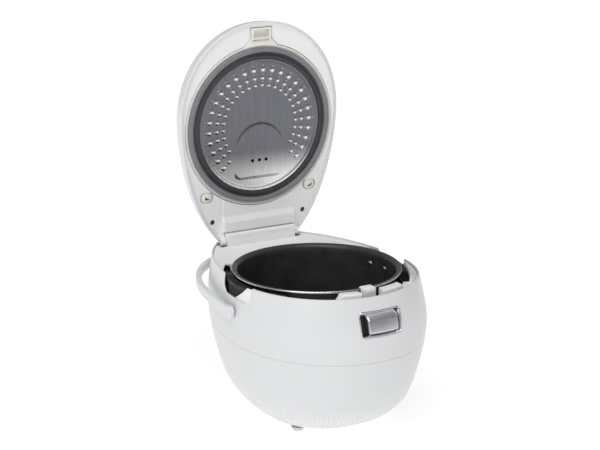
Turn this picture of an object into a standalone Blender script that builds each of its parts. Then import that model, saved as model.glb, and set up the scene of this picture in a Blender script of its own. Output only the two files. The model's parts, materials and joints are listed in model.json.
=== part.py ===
"""Rice cooker with a sprung lid, modelled as an assembly of separate pieces.

Sizes are millimetres, turned into metres where a mesh is made.  The pieces are drawn
around the axis of the pot, with -Y the front, and the whole assembly is then moved
along Y so that the origin is under the middle of its bounding box.  The lid is drawn
shut and its parent empty, on the hinge axis, turns it open.
"""
import math

import bmesh
import bpy
import numpy as np
from mathutils import Matrix, Vector

MM = 0.001
GAP = 0.4                      # clearance between touching pieces
ORIGIN_Y = 24.05               # middle of the bounding box, from the pot axis

# plan outline of body and lid
STEPS = 40                     # points around an outline
WIDEST_Y = -12.0               # where the outline is widest
FRONT_POWER = 2.1              # 2 is an ellipse, more is squarer
TAPER = 0.08                   # how much the rear half narrows

# body: height, half width, reach to the front, reach to the rear
BODY_STATIONS = (
    (6.0, 72.0, 86.0, 108.0),
    (20.0, 91.0, 113.0, 141.0),
    (35.0, 104.5, 131.0, 163.0),
    (60.0, 115.0, 145.0, 180.0),
    (85.0, 121.5, 153.0, 190.0),
    (119.0, 127.9, 161.0, 199.5),
    (140.0, 129.8, 163.4, 202.5),
    (160.0, 128.6, 161.6, 202.0),
    (180.0, 125.5, 156.0, 200.0),
    (201.0, 122.6, 146.5, 197.0),
)
BODY_WALL = 2.4
BAND_TOP = 20.0
BAND_BOTTOM = 6.0
SEAM_Z = 119.0
CREST_Z = 201.0
FOOT_SPOTS = ((-57.0, -50.0), (57.0, -50.0), (-57.0, 78.0), (57.0, 78.0))
FOOT_TOP_RADIUS = 9.0
FOOT_BASE_RADIUS = 7.0
INLET_Z = 46.0                 # mains socket, low at the rear
PIN_SPOTS = ((-7.0, 44.0), (7.0, 44.0), (0.0, 50.0))

# side notches for the pot's grips
NOTCH_ENDS = {-1: (-41.5, 36.0), 1: (-25.5, 32.0)}
NOTCH_Z = 179.0
NOTCH_FRONT_ROUND = 5.0
NOTCH_REAR_ROUND = 14.0

# deck around the pot
DECK_FRONT_Z = 188.0
DECK_REAR_Z = 198.5
DECK_WALL = 2.2
DECK_HOLE = 114.5
DECK_BOTTOM = 171.0
GUARD_TOP = 205.2              # raised blocks beside the latch
GUARD_INNER = 15.2
GUARD_OUTER = {-1: 38.5, 1: 47.0}
GUARD_SETBACK = 6.4

# pot
RIM_RADIUS = 112.0
RIM_Z = 202.0
POT_RADIUS = 105.4
POT_INNER = 104.0
POT_BOTTOM = 52.4
POT_FLOOR = 54.4
POT_CORNER = 24.0
GRIP_OUTER = 119.6
GRIP_INNER = 106.2
GRIP_LOW = 189.4
GRIP_HIGH = 195.2
GRIP_ANGLES = (-30.0, 40.0)    # the pot stands turned a little in its seat
GRIP_ROOM = 41.0               # half the deck's cut-out for a grip, in degrees
SKIRT_ANGLES = (-12.0, 26.0)
SKIRT_Z = 177.6
RIVET_ANGLES = (-1.5, 15.5)
RIVET_Z = 182.0
POT_LIFT_CLEAR = 122.6
POT_STEPS = 40
POT_Z = 120.0                  # where the pot's and the plunger's joints stand
PLUNGER_Z = 40.0

# hinge
HINGE_Y = 159.0
HINGE_Z = 203.0
PIN_RADIUS = 3.0
PIN_BORE = 3.4
OPEN_ANGLE = 87.5
BLOCK_HALF = 53.2
BLOCK_FRONT = 150.0
BLOCK_REAR = 170.0
BLOCK_TOP = 214.7
EAR_INNER = 54.0
EAR_OUTER = 61.0
EAR_RADIUS = 6.0

# lid, drawn shut
LID_HALF = 121.0
LID_FRONT = 144.0
LID_REAR = 188.0
LID_EDGE_Z = 203.0
LID_SKIRT_Z = 215.0
LID_DOME = 37.0
LID_WALL = 2.4
LID_CUT_Y = 157.5
LID_NOTCH_Y = 145.5
FRAME_Z = 206.0
FRAME_THICK = 2.0
RING_OUTER = 112.6
RING_INNER = 108.4
GASKET_INNER = 92.6
SEAL_Z = 202.6
CLIP_X = 80.2
CLIP_Y = 93.8
SCREW_X = 71.0
SCREW_Y = 130.0
UNDER_LID = 150.0              # heights well clear of the lid, for its cutters
OVER_LID = 300.0

DOME_POWER = 0.62              # how flat the dome is on top
DOME_SCALE = 0.988             # where the dome starts, of the edge's size
VENT_SPOT = (0.0, 60.0)
VENT_RADIUS = 18.0
CAP_Z = 246.0
PANEL_WIDE = 96.0
PANEL_LONG = 84.0
PANEL_Y = -60.0
PANEL_LOW = 234.0
DISPLAY_Y = -38.0
KEY_PROUD = 1.2
# keys on the control panel: name, x, y, radius
KEYS = (
    ("key_menu", -34.0, -70.0, 6.0),
    ("key_minus", -17.0, -80.0, 6.0),
    ("key_start", 0.0, -70.0, 8.0),
    ("key_plus", 17.0, -80.0, 6.0),
    ("key_cancel", 34.0, -70.0, 6.0),
)

# latch and its button
BUTTON_X = 1.5
BUTTON_Z = 169.0
BUTTON_WIDE = 61.0
BUTTON_TALL = 32.0
PUSH_X = 5.5
PUSH_WIDE = 45.3
PUSH_TALL = 25.7
BEZEL_BACK = -146.0
SKIN_HEIGHTS = tuple(range(140, 201, 10))
BUTTON_Y = -155.0              # where the button starts its travel
STEM_RADIUS = 4.0
HOOK_HALF = 8.8
NOSE_Z = 206.0
HOOK_PIVOT = (-128.5, 190.0)

# bail
PIVOT_Y = -8.0
PIVOT_Z = 163.0
BAIL_HALF = 134.2
BAIL_REAR = 207.5
BAIL_BEND_Y = 12.0
BAIL_POWER = 2.08
BAIL_RISE = 4.4
BAIL_RISE_RUN = 93.5
BAIL_THICK = 7.5
BAIL_ARM_TALL = 15.9
BAIL_BAR_TALL = 12.0
BAIL_TALL_RUN = 200.0
BOSS_RADIUS = 8.6


def clear_scene():
    for item in list(bpy.data.objects):
        bpy.data.objects.remove(item, do_unlink=True)


def material(name, color, roughness, metallic=0.0):
    mat = bpy.data.materials.new(name)
    mat.use_nodes = True
    shader = mat.node_tree.nodes["Principled BSDF"]
    shader.inputs["Base Color"].default_value = (*color, 1.0)
    shader.inputs["Roughness"].default_value = roughness
    shader.inputs["Metallic"].default_value = metallic
    return mat


WHITE = ((0.80, 0.81, 0.82), 0.35)
IVORY = ((0.78, 0.77, 0.72), 0.40)
BLACK = ((0.03, 0.03, 0.035), 0.40)
DARK_RUBBER = ((0.10, 0.10, 0.11), 0.65)
STEEL = ((0.55, 0.55, 0.56), 0.32, 1.0)
CHROME = ((0.80, 0.80, 0.82), 0.08, 1.0)
SATIN = ((0.60, 0.60, 0.63), 0.30, 1.0)
ALUMINIUM = ((0.70, 0.70, 0.71), 0.40, 1.0)
BOARD_GREEN = ((0.05, 0.22, 0.10), 0.50)
GREY = ((0.35, 0.36, 0.38), 0.45)



def empty(name, place, parent):
    item = bpy.data.objects.new(name, None)
    item.location = Vector(place) * MM
    item.parent = parent
    bpy.context.collection.objects.link(item)
    return item


def put(name, verts, faces, finish, parent, place=(0.0, 0.0, 0.0)):
    """One named object from points in mm; its origin is at place, in the parent's frame."""
    mesh = bpy.data.meshes.new(name)
    points = [(Vector(v) - Vector(place)) * MM for v in verts]
    mesh.from_pydata([tuple(p) for p in points], [], faces)
    work = bmesh.new()
    work.from_mesh(mesh)
    bmesh.ops.remove_doubles(work, verts=work.verts, dist=1e-7)
    bmesh.ops.recalc_face_normals(work, faces=work.faces)
    work.to_mesh(mesh)
    work.free()
    mesh.shade_smooth()
    mesh.set_sharp_from_angle(angle=math.radians(35))
    item = bpy.data.objects.new(name, mesh)
    item.location = (Vector(place) - Vector(parent.get("at", (0.0, 0.0, 0.0)))) * MM
    item.parent = parent
    if finish:
        mesh.materials.append(material(name, *finish))
    bpy.context.collection.objects.link(item)
    return item


def cutter(name, verts, faces, parent):
    item = put(name, verts, faces, None, parent)
    item.hide_render = True
    item.display_type = "WIRE"
    return item


def boolean(item, other, operation="DIFFERENCE"):
    step = item.modifiers.new(other.name, "BOOLEAN")
    step.operation = operation
    step.solver = "EXACT"
    step.object = other


# ---- outlines and solids -------------------------------------------------------------

def smooth_step(value):
    value = min(1.0, max(0.0, value))
    return value * value * (3.0 - 2.0 * value)


def station(z):
    """Half width, front and rear reach of the body at a height, by cubic interpolation."""
    table = np.array(BODY_STATIONS)
    heights = table[:, 0]
    slopes = np.gradient(table[:, 1:], heights, axis=0)
    row = int(np.clip(np.searchsorted(heights, z) - 1, 0, len(heights) - 2))
    span = heights[row + 1] - heights[row]
    t = (z - heights[row]) / span
    low, high = table[row, 1:], table[row + 1, 1:]
    return (
        (2 * t**3 - 3 * t**2 + 1) * low
        + (t**3 - 2 * t**2 + t) * span * slopes[row]
        + (3 * t**2 - 2 * t**3) * high
        + (t**3 - t**2) * span * slopes[row + 1]
    )


def egg(half, front, rear, steps=STEPS):
    """Plan outline: a squared-off front and a rear that narrows."""
    points = []
    for i in range(steps):
        turn = 2 * math.pi * i / steps
        c, s = math.cos(turn), math.sin(turn)
        if s < 0:
            power = 2 / FRONT_POWER
            x = half * math.copysign(abs(c) ** power, c)
            y = WIDEST_Y - (front + WIDEST_Y) * abs(s) ** power
        else:
            x = half * c * (1 - TAPER * s * s * (1 - s) / (s + 0.08))
            y = WIDEST_Y + (rear - WIDEST_Y) * s
        points.append((x, y))
    return points


def body_ring(z, inset, at_z=None, steps=STEPS):
    half, front, rear = station(z)
    outline = egg(half - inset, front - inset, rear - inset, steps)
    return [(x, y, z if at_z is None else at_z) for x, y in outline]


def lid_ring(scale, inset, z, steps=STEPS):
    half, front, rear = LID_HALF * scale, LID_FRONT * scale, LID_REAR * scale
    return [(x, y, z) for x, y in egg(half - inset, front - inset, rear - inset, steps)]


def loft(rings, closed=False):
    """Verts and faces through rings of equal count; open lofts are capped."""
    count = len(rings[0])
    verts = [p for ring in rings for p in ring]
    faces = []
    last = len(rings) if closed else len(rings) - 1
    for k in range(last):
        a, b = k * count, ((k + 1) % len(rings)) * count
        for i in range(count):
            j = (i + 1) % count
            faces.append((a + i, a + j, b + j, b + i))
    if not closed:
        faces.append(tuple(reversed(range(count))))
        faces.append(tuple(range((len(rings) - 1) * count, len(rings) * count)))
    return verts, faces


def circle(radius, z, steps, centre=(0.0, 0.0)):
    step = 2 * math.pi / steps
    return [
        (centre[0] + radius * math.cos(i * step), centre[1] + radius * math.sin(i * step), z)
        for i in range(steps)
    ]


def turned(profile, steps, closed=False, centre=(0.0, 0.0)):
    """A shape turned about Z; profile is (radius, z) pairs."""
    return loft([circle(r, z, steps, centre) for r, z in profile], closed)


def rounded_rect(wide, tall, radius, corner_steps=3):
    points = []
    corners = ((1, 1, 0), (-1, 1, 90), (-1, -1, 180), (1, -1, 270))
    for sx, sy, start in corners:
        cx, cy = sx * (wide / 2 - radius), sy * (tall / 2 - radius)
        for i in range(corner_steps + 1):
            angle = math.radians(start + 90 * i / corner_steps)
            points.append((cx + radius * math.cos(angle), cy + radius * math.sin(angle)))
    return points


def prism(outline, low, high, axis="z"):
    """An outline extruded along an axis; the outline's own axes follow in cyclic order."""
    place = {
        "z": lambda p, d: (p[0], p[1], d),
        "y": lambda p, d: (p[0], d, p[1]),
        "x": lambda p, d: (d, p[0], p[1]),
    }[axis]
    return loft([[place(p, low) for p in outline], [place(p, high) for p in outline]])


def block(low, high):
    outline = ((low[0], low[1]), (high[0], low[1]), (high[0], high[1]), (low[0], high[1]))
    return prism(outline, low[2], high[2])


def rod(radius, low, high, centre, axis="x", steps=20):
    outline = [(x + centre[0], y + centre[1]) for x, y, _ in circle(radius, 0.0, steps)]
    return prism(outline, low, high, axis)


def sector(inner, outer, low, high, start, end, steps=10):
    """A ring sector about Z between two angles in degrees."""
    rings = []
    for i in range(steps + 1):
        angle = math.radians(start + (end - start) * i / steps)
        c, s = math.cos(angle), math.sin(angle)
        corners = ((inner, low), (outer, low), (outer, high), (inner, high))
        rings.append([(r * c, r * s, z) for r, z in corners])
    return loft(rings)


def helix(radius, wire, turns, length, centre, axis="z", per_turn=8, sides=4):
    """A closed coil of wire along an axis from centre."""
    rings = []
    count = int(turns * per_turn)
    for k in range(count + 1):
        angle = 2 * math.pi * k / per_turn
        along = length * k / count
        ring = []
        for m in range(sides):
            a = 2 * math.pi * m / sides
            r = radius + wire * math.cos(a)
            u, v, w = r * math.cos(angle), r * math.sin(angle), along + wire * math.sin(a)
            spot = {"z": (u, v, w), "x": (w, u, v), "y": (u, w, v)}[axis]
            ring.append(tuple(p + q for p, q in zip(spot, centre)))
        rings.append(ring)
    return loft(rings)


# ---- body ------------------------------------------------------------------------------

def deck_z(y):
    rise = smooth_step((y + 60.0) / 120.0)
    return DECK_FRONT_Z + (DECK_REAR_Z - DECK_FRONT_Z) * rise


def base_cover(root):
    """Tray that closes the bottom, with the ribbed band as its side wall."""
    outer = [body_ring(z, 0.0) for z in (BAND_BOTTOM, 10.0, 15.0, BAND_TOP - GAP / 2)]
    inner = [body_ring(z, BODY_WALL) for z in (BAND_TOP - GAP / 2, 15.0, BAND_BOTTOM + 3.0)]
    verts, faces = loft(outer + inner)
    return put("base_cover", verts, faces, WHITE, root)


def feet(root):
    names = ("front_left", "front_right", "rear_left", "rear_right")
    top = BAND_BOTTOM - GAP
    profile = (
        (FOOT_BASE_RADIUS - 1.2, 0.0),
        (FOOT_BASE_RADIUS, 1.2),
        (FOOT_TOP_RADIUS, top),
    )
    for name, spot in zip(names, FOOT_SPOTS):
        verts, faces = turned(profile, 14, centre=spot)
        put("foot_" + name, verts, faces, WHITE, root)


def lower_shell(root):
    heights = (BAND_TOP + GAP / 2, 28.0, 38.0, 60.0, 88.0, SEAM_Z - GAP / 2)
    outer = [body_ring(z, 0.0) for z in heights]
    inner = [body_ring(z, BODY_WALL) for z in reversed(heights)]
    verts, faces = loft(outer + inner, closed=True)
    item = put("lower_shell", verts, faces, WHITE, root)
    outline = rounded_rect(30.4, 22.4, 3.0, 2)
    outline = [(x, z + INLET_Z) for x, z in outline]
    boolean(item, cutter("cut_inlet", *prism(outline, 140.0, 210.0, "y"), root))
    return item


def crest_rings(steps=STEPS):
    """Outside of the upper shell, with its rolled top edge, then the inside going down."""
    heights = (SEAM_Z + GAP / 2, 132.0, 148.0, 164.0, 180.0, 194.0)
    outer = [body_ring(z, 0.0, steps=steps) for z in heights]
    rolled = ((199.4, 0.3, 199.4), (201.0, 1.6, CREST_Z))
    outer += [body_ring(z, inset, at, steps) for z, inset, at in rolled]
    inner = [body_ring(z, BODY_WALL, steps=steps) for z in reversed(heights)]
    return outer + inner


def notch_outline(side):
    """Notch for a pot grip: a tight corner at the front and a wide one at the rear."""
    front, rear = NOTCH_ENDS[side]
    low, high = NOTCH_FRONT_ROUND, NOTCH_REAR_ROUND
    points = [(front, 230.0)]
    for k in range(4):
        a = math.radians(180 + 30 * k)
        points.append((front + low + low * math.cos(a), NOTCH_Z + low + low * math.sin(a)))
    for k in range(6):
        a = math.radians(270 + 18 * k)
        points.append((rear - high + high * math.cos(a), NOTCH_Z + high + high * math.sin(a)))
    return points + [(rear, 230.0)]


def upper_shell(root):
    verts, faces = loft(crest_rings(), closed=True)
    item = put("upper_shell", verts, faces, WHITE, root)
    for side in (-1, 1):
        ends = sorted((side * 90.0, side * 150.0))
        name = "cut_notch_" + ("left" if side < 0 else "right")
        boolean(item, cutter(name, *prism(notch_outline(side), ends[0], ends[1], "x"), root))
    outline = rounded_rect(BUTTON_WIDE + 2 * GAP, BUTTON_TALL + 2 * GAP, 6.0)
    outline = [(x + BUTTON_X, z + BUTTON_Z) for x, z in outline]
    boolean(item, cutter("cut_button", *prism(outline, -180.0, -130.0, "y"), root))
    boolean(item, cutter("cut_bail_pins", *rod(4.0, -150.0, 150.0, (PIVOT_Y, PIVOT_Z)), root))
    return item


def deck_rings():
    """Hollow deck round the pot: outer skirt up, across the top, inner skirt down, and back."""
    def outer(z, inset):
        return body_ring(z, BODY_WALL + GAP + inset)

    def hole(radius, z):
        return [(radius * math.cos(a), radius * math.sin(a), z) for a in angles]

    angles = []
    for x, y, _ in outer(180.0, 0.0):
        angles.append(math.atan2(y, x))
    top = [deck_z(y) for _, y, _ in outer(CREST_Z, 0.0)]
    rim = [(x, y, z) for (x, y, _), z in zip(outer(CREST_Z, 0.0), top)]
    hole_top = [(x, y, z - 0.8) for (x, y, _), z in zip(hole(DECK_HOLE, 0.0), top)]
    under = [(x, y, z - DECK_WALL - 0.8) for (x, y, _), z in zip(hole(DECK_HOLE + DECK_WALL, 0), top)]
    under_rim = [(x, y, z - DECK_WALL) for (x, y, _), z in zip(outer(CREST_Z, DECK_WALL), top)]
    return [
        outer(DECK_BOTTOM, 0.0), outer(180.0, 0.0), rim, hole_top,
        hole(DECK_HOLE, DECK_BOTTOM), hole(DECK_HOLE + 1.4, DECK_BOTTOM), under,
        under_rim, outer(180.0, 1.6), outer(DECK_BOTTOM, 1.6),
    ]


def guard_band(side):
    """The guard block follows the curve of the front, between two offset outlines."""
    steps = 8
    rings = []
    for k in range(steps + 1):
        x = side * (GUARD_INNER + (GUARD_OUTER[side] + 6.0 - GUARD_INNER) * k / steps)
        slope = smooth_step((abs(x) - GUARD_OUTER[side]) / 6.0)
        top = GUARD_TOP - 5.5 * slope
        front = -front_reach(abs(x), CREST_Z) + GUARD_SETBACK
        back = front + 12.0 - 3.0 * slope
        low = DECK_FRONT_Z - 1.2
        rings.append([(x, front, low), (x, back, low), (x, back, top - 0.8),
                      (x, back - 0.8, top), (x, front + 0.8, top), (x, front, top - 0.8)])
    return loft(rings)


def front_reach(x, z):
    """How far the body reaches forward at a distance from its middle."""
    half, front, _ = station(z)
    part = 1 - (abs(x) / half) ** FRONT_POWER
    return (front + WIDEST_Y) * part ** (1 / FRONT_POWER) - WIDEST_Y


def top_collar(root):
    verts, faces = loft(deck_rings(), closed=True)
    item = put("top_collar", verts, faces, WHITE, root)
    for side in (-1, 1):
        name = "add_guard_" + ("left" if side < 0 else "right")
        boolean(item, cutter(name, *guard_band(side), root), "UNION")
    for side in (-1, 1):
        start = 180 if side < 0 else 0
        shape = sector(108.0, POT_LIFT_CLEAR, 175.5, 230.0, start - GRIP_ROOM, start + GRIP_ROOM)
        boolean(item, cutter("cut_grip_" + ("left" if side < 0 else "right"), *shape, root))
    boolean(item, cutter("cut_hinge", *block((-63.4, 149.4, 189.0), (63.4, BLOCK_REAR + 0.6, 240.0)), root))
    boolean(item, cutter("cut_latch", *block((-14.2, -152.0, 181.0), (14.2, -118.0, 230.0)), root))
    low, high = BUTTON_X - BUTTON_WIDE / 2 - 1.0, BUTTON_X + BUTTON_WIDE / 2 + 1.0
    boolean(item, cutter("cut_bezel", *block((low, -170.0, 150.0), (high, -144.8, 185.5)), root))
    bore = rod(2.4, -18.4, 18.4, HOOK_PIVOT, "x", 12)
    boolean(item, cutter("cut_latch_pin", *bore, root))
    return item


def inner_case(root):
    """Metal can between the pot and the shells, open at the top, resting round the heater."""
    outside = ((94.0, 44.0), (104.0, 52.0), (110.0, 66.0), (113.8, 84.0), (113.8, 169.6))
    inside = ((112.8, 169.6), (112.8, 84.4), (109.0, 66.6), (103.2, 52.8), (94.0, 45.4))
    verts, faces = turned(outside + inside, 32, closed=True)
    return put("inner_case", verts, faces, ALUMINIUM, root)


def heater_band(root):
    verts, faces = turned(((114.4, 96.0), (115.8, 96.0), (115.8, 128.0), (114.4, 128.0)), 36, True)
    return put("side_heater", verts, faces, DARK_RUBBER, root)


def heater_plate(root):
    profile = ((19.0, 43.0), (88.0, 43.0), (90.0, 45.0), (90.0, 50.0), (88.0, 52.0), (19.0, 52.0))
    verts, faces = turned(profile, 32, closed=True)
    return put("heater_plate", verts, faces, ALUMINIUM, root)


def heating_element(root):
    profile = [
        (68.0 + 4.0 * math.cos(a), 38.6 + 4.0 * math.sin(a))
        for a in (math.radians(90 * k) for k in range(4))
    ]
    verts, faces = turned(profile, 24, closed=True)
    return put("heating_element", verts, faces, STEEL, root)


def thermal_fuse(root):
    verts, faces = rod(3.2, -12.0, 12.0, (40.0, 38.8), "x", 12)
    return put("thermal_fuse", verts, faces, GREY, root)


def plunger(parent):
    """Spring-loaded thermostat in the middle of the heater."""
    profile = ((5.0, 22.0), (5.0, 44.0), (17.0, 44.0), (17.0, 51.0), (16.0, 52.0))
    verts, faces = turned(profile, 24)
    return put("thermostat_plunger", verts, faces, ALUMINIUM, parent, (0.0, 0.0, PLUNGER_Z))


def plunger_spring(root):
    shape = helix(8.6, 1.1, 4.0, 16.0, (0.0, 0.0, 26.4))
    return put("plunger_spring", *shape, STEEL, root)


def power_board(root):
    return put("power_board", *block((-40.0, 62.0, 14.0), (40.0, 102.0, 15.6)), BOARD_GREEN, root)


def mains_inlet(root):
    """Recessed mains socket at the lower rear, with its three pins."""
    outline = [(x, z + INLET_Z) for x, z in rounded_rect(30.0 - GAP, 22.0 - GAP, 3.0, 2)]
    item = put("mains_inlet", *prism(outline, 150.0, 172.5, "y"), BLACK, root)
    outline = [(x, z + INLET_Z) for x, z in rounded_rect(24.0, 16.5, 2.0, 2)]
    boolean(item, cutter("cut_socket", *prism(outline, 154.0, 190.0, "y"), root))
    for k, (x, z) in enumerate(PIN_SPOTS):
        pin = cutter("add_pin_%d" % k, *block((x - 1.0, 153.0, z - 2.0), (x + 1.0, 165.0, z + 2.0)), root)
        boolean(item, pin, "UNION")
    return item


def hinge_block(root):
    """Fixed half of the hinge: hollow block with a bored cheek at each end."""
    outline = (
        (BLOCK_FRONT, 180.0), (BLOCK_REAR, 180.0), (BLOCK_REAR, 204.0), (166.5, 212.0),
        (163.5, BLOCK_TOP), (BLOCK_FRONT + 3.0, BLOCK_TOP), (BLOCK_FRONT + 0.9, BLOCK_TOP - 0.9),
        (BLOCK_FRONT, BLOCK_TOP - 3.0),
    )
    item = put("hinge_block", *prism(outline, -BLOCK_HALF, BLOCK_HALF, "x"), WHITE, root)
    boolean(item, cutter("cut_spring_room", *block((-42.0, 153.0, 170.0), (42.0, 166.6, 210.5)), root))
    hole = rod(PIN_BORE, -80.0, 80.0, (HINGE_Y, HINGE_Z), "x", 24)
    boolean(item, cutter("cut_hinge_bore", *hole, root))
    return item


def hinge_pin(root):
    shape = rod(PIN_RADIUS, -EAR_OUTER - 0.2, EAR_OUTER + 0.2, (HINGE_Y, HINGE_Z))
    return put("hinge_pin", *shape, STEEL, root)


def hinge_spring(root):
    shape = helix(4.9, 0.8, 4.0, 14.0, (12.0, HINGE_Y, HINGE_Z), "x")
    return put("hinge_spring", *shape, STEEL, root)


def button_bezel(root):
    """Chromed tray let into the front, its edge following the curve of the body."""
    outline = [(x + BUTTON_X, z + BUTTON_Z) for x, z in rounded_rect(BUTTON_WIDE, BUTTON_TALL, 5.6)]
    item = put("button_bezel", *prism(outline, -175.0, BEZEL_BACK, "y"), CHROME, root)
    skin = loft([body_ring(z, -0.3) for z in SKIN_HEIGHTS])
    boolean(item, cutter("trim_front", *skin, root), "INTERSECT")
    outline = rounded_rect(BUTTON_WIDE - 3.0, BUTTON_TALL - 3.0, 4.2)
    outline = [(x + BUTTON_X, z + BUTTON_Z) for x, z in outline]
    boolean(item, cutter("cut_tray", *prism(outline, -180.0, BEZEL_BACK - 1.5, "y"), root))
    boolean(item, cutter("cut_stem", *rod(STEM_RADIUS + 1.0, -170.0, -130.0, (0.0, BUTTON_Z), "y"), root))
    return item


def open_button(parent):
    """Push piece with a stem that reaches the latch lever."""
    outline = [(x + PUSH_X, z + BUTTON_Z) for x, z in rounded_rect(PUSH_WIDE, PUSH_TALL, 4.0)]
    item = put("open_button", *prism(outline, -170.0, -152.0, "y"), SATIN, parent,
               (0.0, BUTTON_Y, BUTTON_Z))
    skin = loft([body_ring(z, 0.6) for z in SKIN_HEIGHTS])
    boolean(item, cutter("trim_button", *skin, parent.parent), "INTERSECT")
    stem = rod(STEM_RADIUS, -153.0, -131.9, (0.0, BUTTON_Z), "y", 12)
    boolean(item, cutter("add_stem", *stem, parent), "UNION")
    return item


def button_spring(root):
    shape = helix(6.6, 0.45, 2.0, 2.9, (0.0, -151.15, BUTTON_Z), "y")
    return put("button_spring", *shape, STEEL, root)


def latch_hook(parent):
    """Pivoted hook: the nose above holds the lid and the tail below meets the button's stem."""
    y, z = HOOK_PIVOT
    outline = (
        (y - 2.4, BUTTON_Z - 5.0), (y + 2.4, BUTTON_Z - 5.0), (y + 4.5, z - 4.0), (y + 4.5, NOSE_Z),
        (y + 8.7, NOSE_Z + 0.2), (y + 8.7, NOSE_Z + 1.0), (y + 7.0, NOSE_Z + 2.4), (y - 1.8, NOSE_Z + 2.4),
        (y - 3.3, NOSE_Z + 0.8), (y - 3.3, z - 6.0), (y - 2.4, z - 12.0),
    )
    item = put("latch_hook", *prism(outline, -HOOK_HALF, HOOK_HALF, "x"), WHITE, parent, (0.0, y, z))
    boolean(item, cutter("cut_latch_bore", *rod(2.4, -40.0, 40.0, (y, z), "x", 16), parent))
    return item


def latch_pin(root):
    return put("latch_pin", *rod(2.0, -18.0, 18.0, HOOK_PIVOT, "x", 12), STEEL, root)


def bail_pins(root):
    for side, name in ((-1, "bail_pin_left"), (1, "bail_pin_right")):
        ends = sorted((side * 123.5, side * 135.0))
        put(name, *rod(3.5, ends[0], ends[1], (PIVOT_Y, PIVOT_Z), "x", 16), GREY, root)


def bail_path(count):
    """Middle line of the handle in plan, from one pivot round the back to the other."""
    straight = [(BAIL_HALF, PIVOT_Y + (BAIL_BEND_Y - PIVOT_Y) * k / 4.0) for k in range(4)]
    curve = []
    for k in range(count + 1):
        turn = math.pi * k / count
        c, s = math.cos(turn), math.sin(turn)
        power = 2 / BAIL_POWER
        x = BAIL_HALF * math.copysign(abs(c) ** power, c)
        y = BAIL_BEND_Y + (BAIL_REAR - BAIL_BEND_Y) * abs(s) ** power
        curve.append((x, y))
    mirrored = [(-x, y) for x, y in reversed(straight)]
    return straight + curve + mirrored


def bail_handle(parent):
    path = bail_path(18)
    rings = []
    for k, (x, y) in enumerate(path):
        before, after = path[max(k - 1, 0)], path[min(k + 1, len(path) - 1)]
        along = Vector((after[0] - before[0], after[1] - before[1], 0.0)).normalized()
        out = Vector((along.y, -along.x, 0.0))
        grow = smooth_step((y - PIVOT_Y) / BAIL_TALL_RUN)
        lift = PIVOT_Z + BAIL_RISE * smooth_step((y - PIVOT_Y + 15.0) / BAIL_RISE_RUN) - 0.6
        tall = (BAIL_ARM_TALL + (BAIL_BAR_TALL - BAIL_ARM_TALL) * grow) / 2
        thin = BAIL_THICK / 2
        section = ((-thin, -tall + 1.5), (thin - 2, -tall), (thin, -tall + 3),
                   (thin, tall - 3), (thin - 2, tall), (-thin, tall - 1.5))
        rings.append([tuple(Vector((x, y, lift + v)) + out * u) for u, v in section])
    item = put("bail_handle", *loft(rings), WHITE, parent, (0.0, PIVOT_Y, PIVOT_Z))
    for side in (-1, 1):
        tag = "left" if side < 0 else "right"
        ends = sorted((side * (BAIL_HALF - BAIL_THICK / 2), side * (BAIL_HALF + BAIL_THICK / 2)))
        boss = rod(BOSS_RADIUS, ends[0], ends[1], (PIVOT_Y, PIVOT_Z), "x", 24)
        boolean(item, cutter("add_boss_" + tag, *boss, parent), "UNION")
        ends = sorted((side * 120.0, side * 135.5))
        hole = rod(3.9, ends[0], ends[1], (PIVOT_Y, PIVOT_Z), "x", 16)
        boolean(item, cutter("cut_boss_" + tag, *hole, parent))
    return item


# ---- pot -------------------------------------------------------------------------------

def pot_profile():
    """Half section of the pot, outside from the bottom up, then the inside going down."""
    outside = []
    for k in range(4):
        a = math.radians(-90 + 90 * k / 3)
        outside.append((POT_RADIUS - POT_CORNER + POT_CORNER * math.cos(a),
                        POT_BOTTOM + POT_CORNER + POT_CORNER * math.sin(a)))
    rim = [(POT_RADIUS, 195.6), (RIM_RADIUS - 0.6, 198.4), (RIM_RADIUS, 200.2),
           (RIM_RADIUS - 0.9, RIM_Z), (RIM_RADIUS - 2.6, RIM_Z - 0.2), (POT_INNER + 1.6, RIM_Z - 3.2),
           (POT_INNER, RIM_Z - 5.6)]
    inside = []
    for k in range(4):
        a = math.radians(-90 * k / 3)
        inside.append((POT_INNER - POT_CORNER + POT_CORNER * math.cos(a),
                       POT_FLOOR + POT_CORNER + POT_CORNER * math.sin(a)))
    return outside + rim + inside


def rivet_spots():
    for side in (-1, 1):
        for angle in RIVET_ANGLES:
            yield side, angle


def rivet_shape(radius_head, radius_shank, head, reach, side, angle, steps):
    """Rivet along a radius: domed head inside the pot, shank out into the grip."""
    profile = ((radius_head * 0.6, -head), (radius_head, -head * 0.4), (radius_head, 0.0),
               (radius_shank, 0.0), (radius_shank, reach))
    verts, faces = turned(profile, steps)
    turn = Matrix.Rotation(math.radians(angle + (180 if side < 0 else 0)), 3, "Z")
    start = POT_INNER * math.cos(math.pi / POT_STEPS) - GAP * 0.7
    placed = [tuple(turn @ Vector((start + z, y, RIVET_Z + x))) for x, y, z in verts]
    return placed, faces


def rivet_holes(item, parent, radius):
    for k, (side, angle) in enumerate(rivet_spots()):
        shape = rivet_shape(radius, radius, 4.0, 8.6, side, angle, 8)
        boolean(item, cutter("%s_hole_%d" % (item.name, k), *shape, parent))


def inner_pot(parent):
    item = put("inner_pot", *turned(pot_profile(), POT_STEPS), BLACK, parent, (0.0, 0.0, POT_Z))
    rivet_holes(item, parent, 2.6)
    return item


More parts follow.
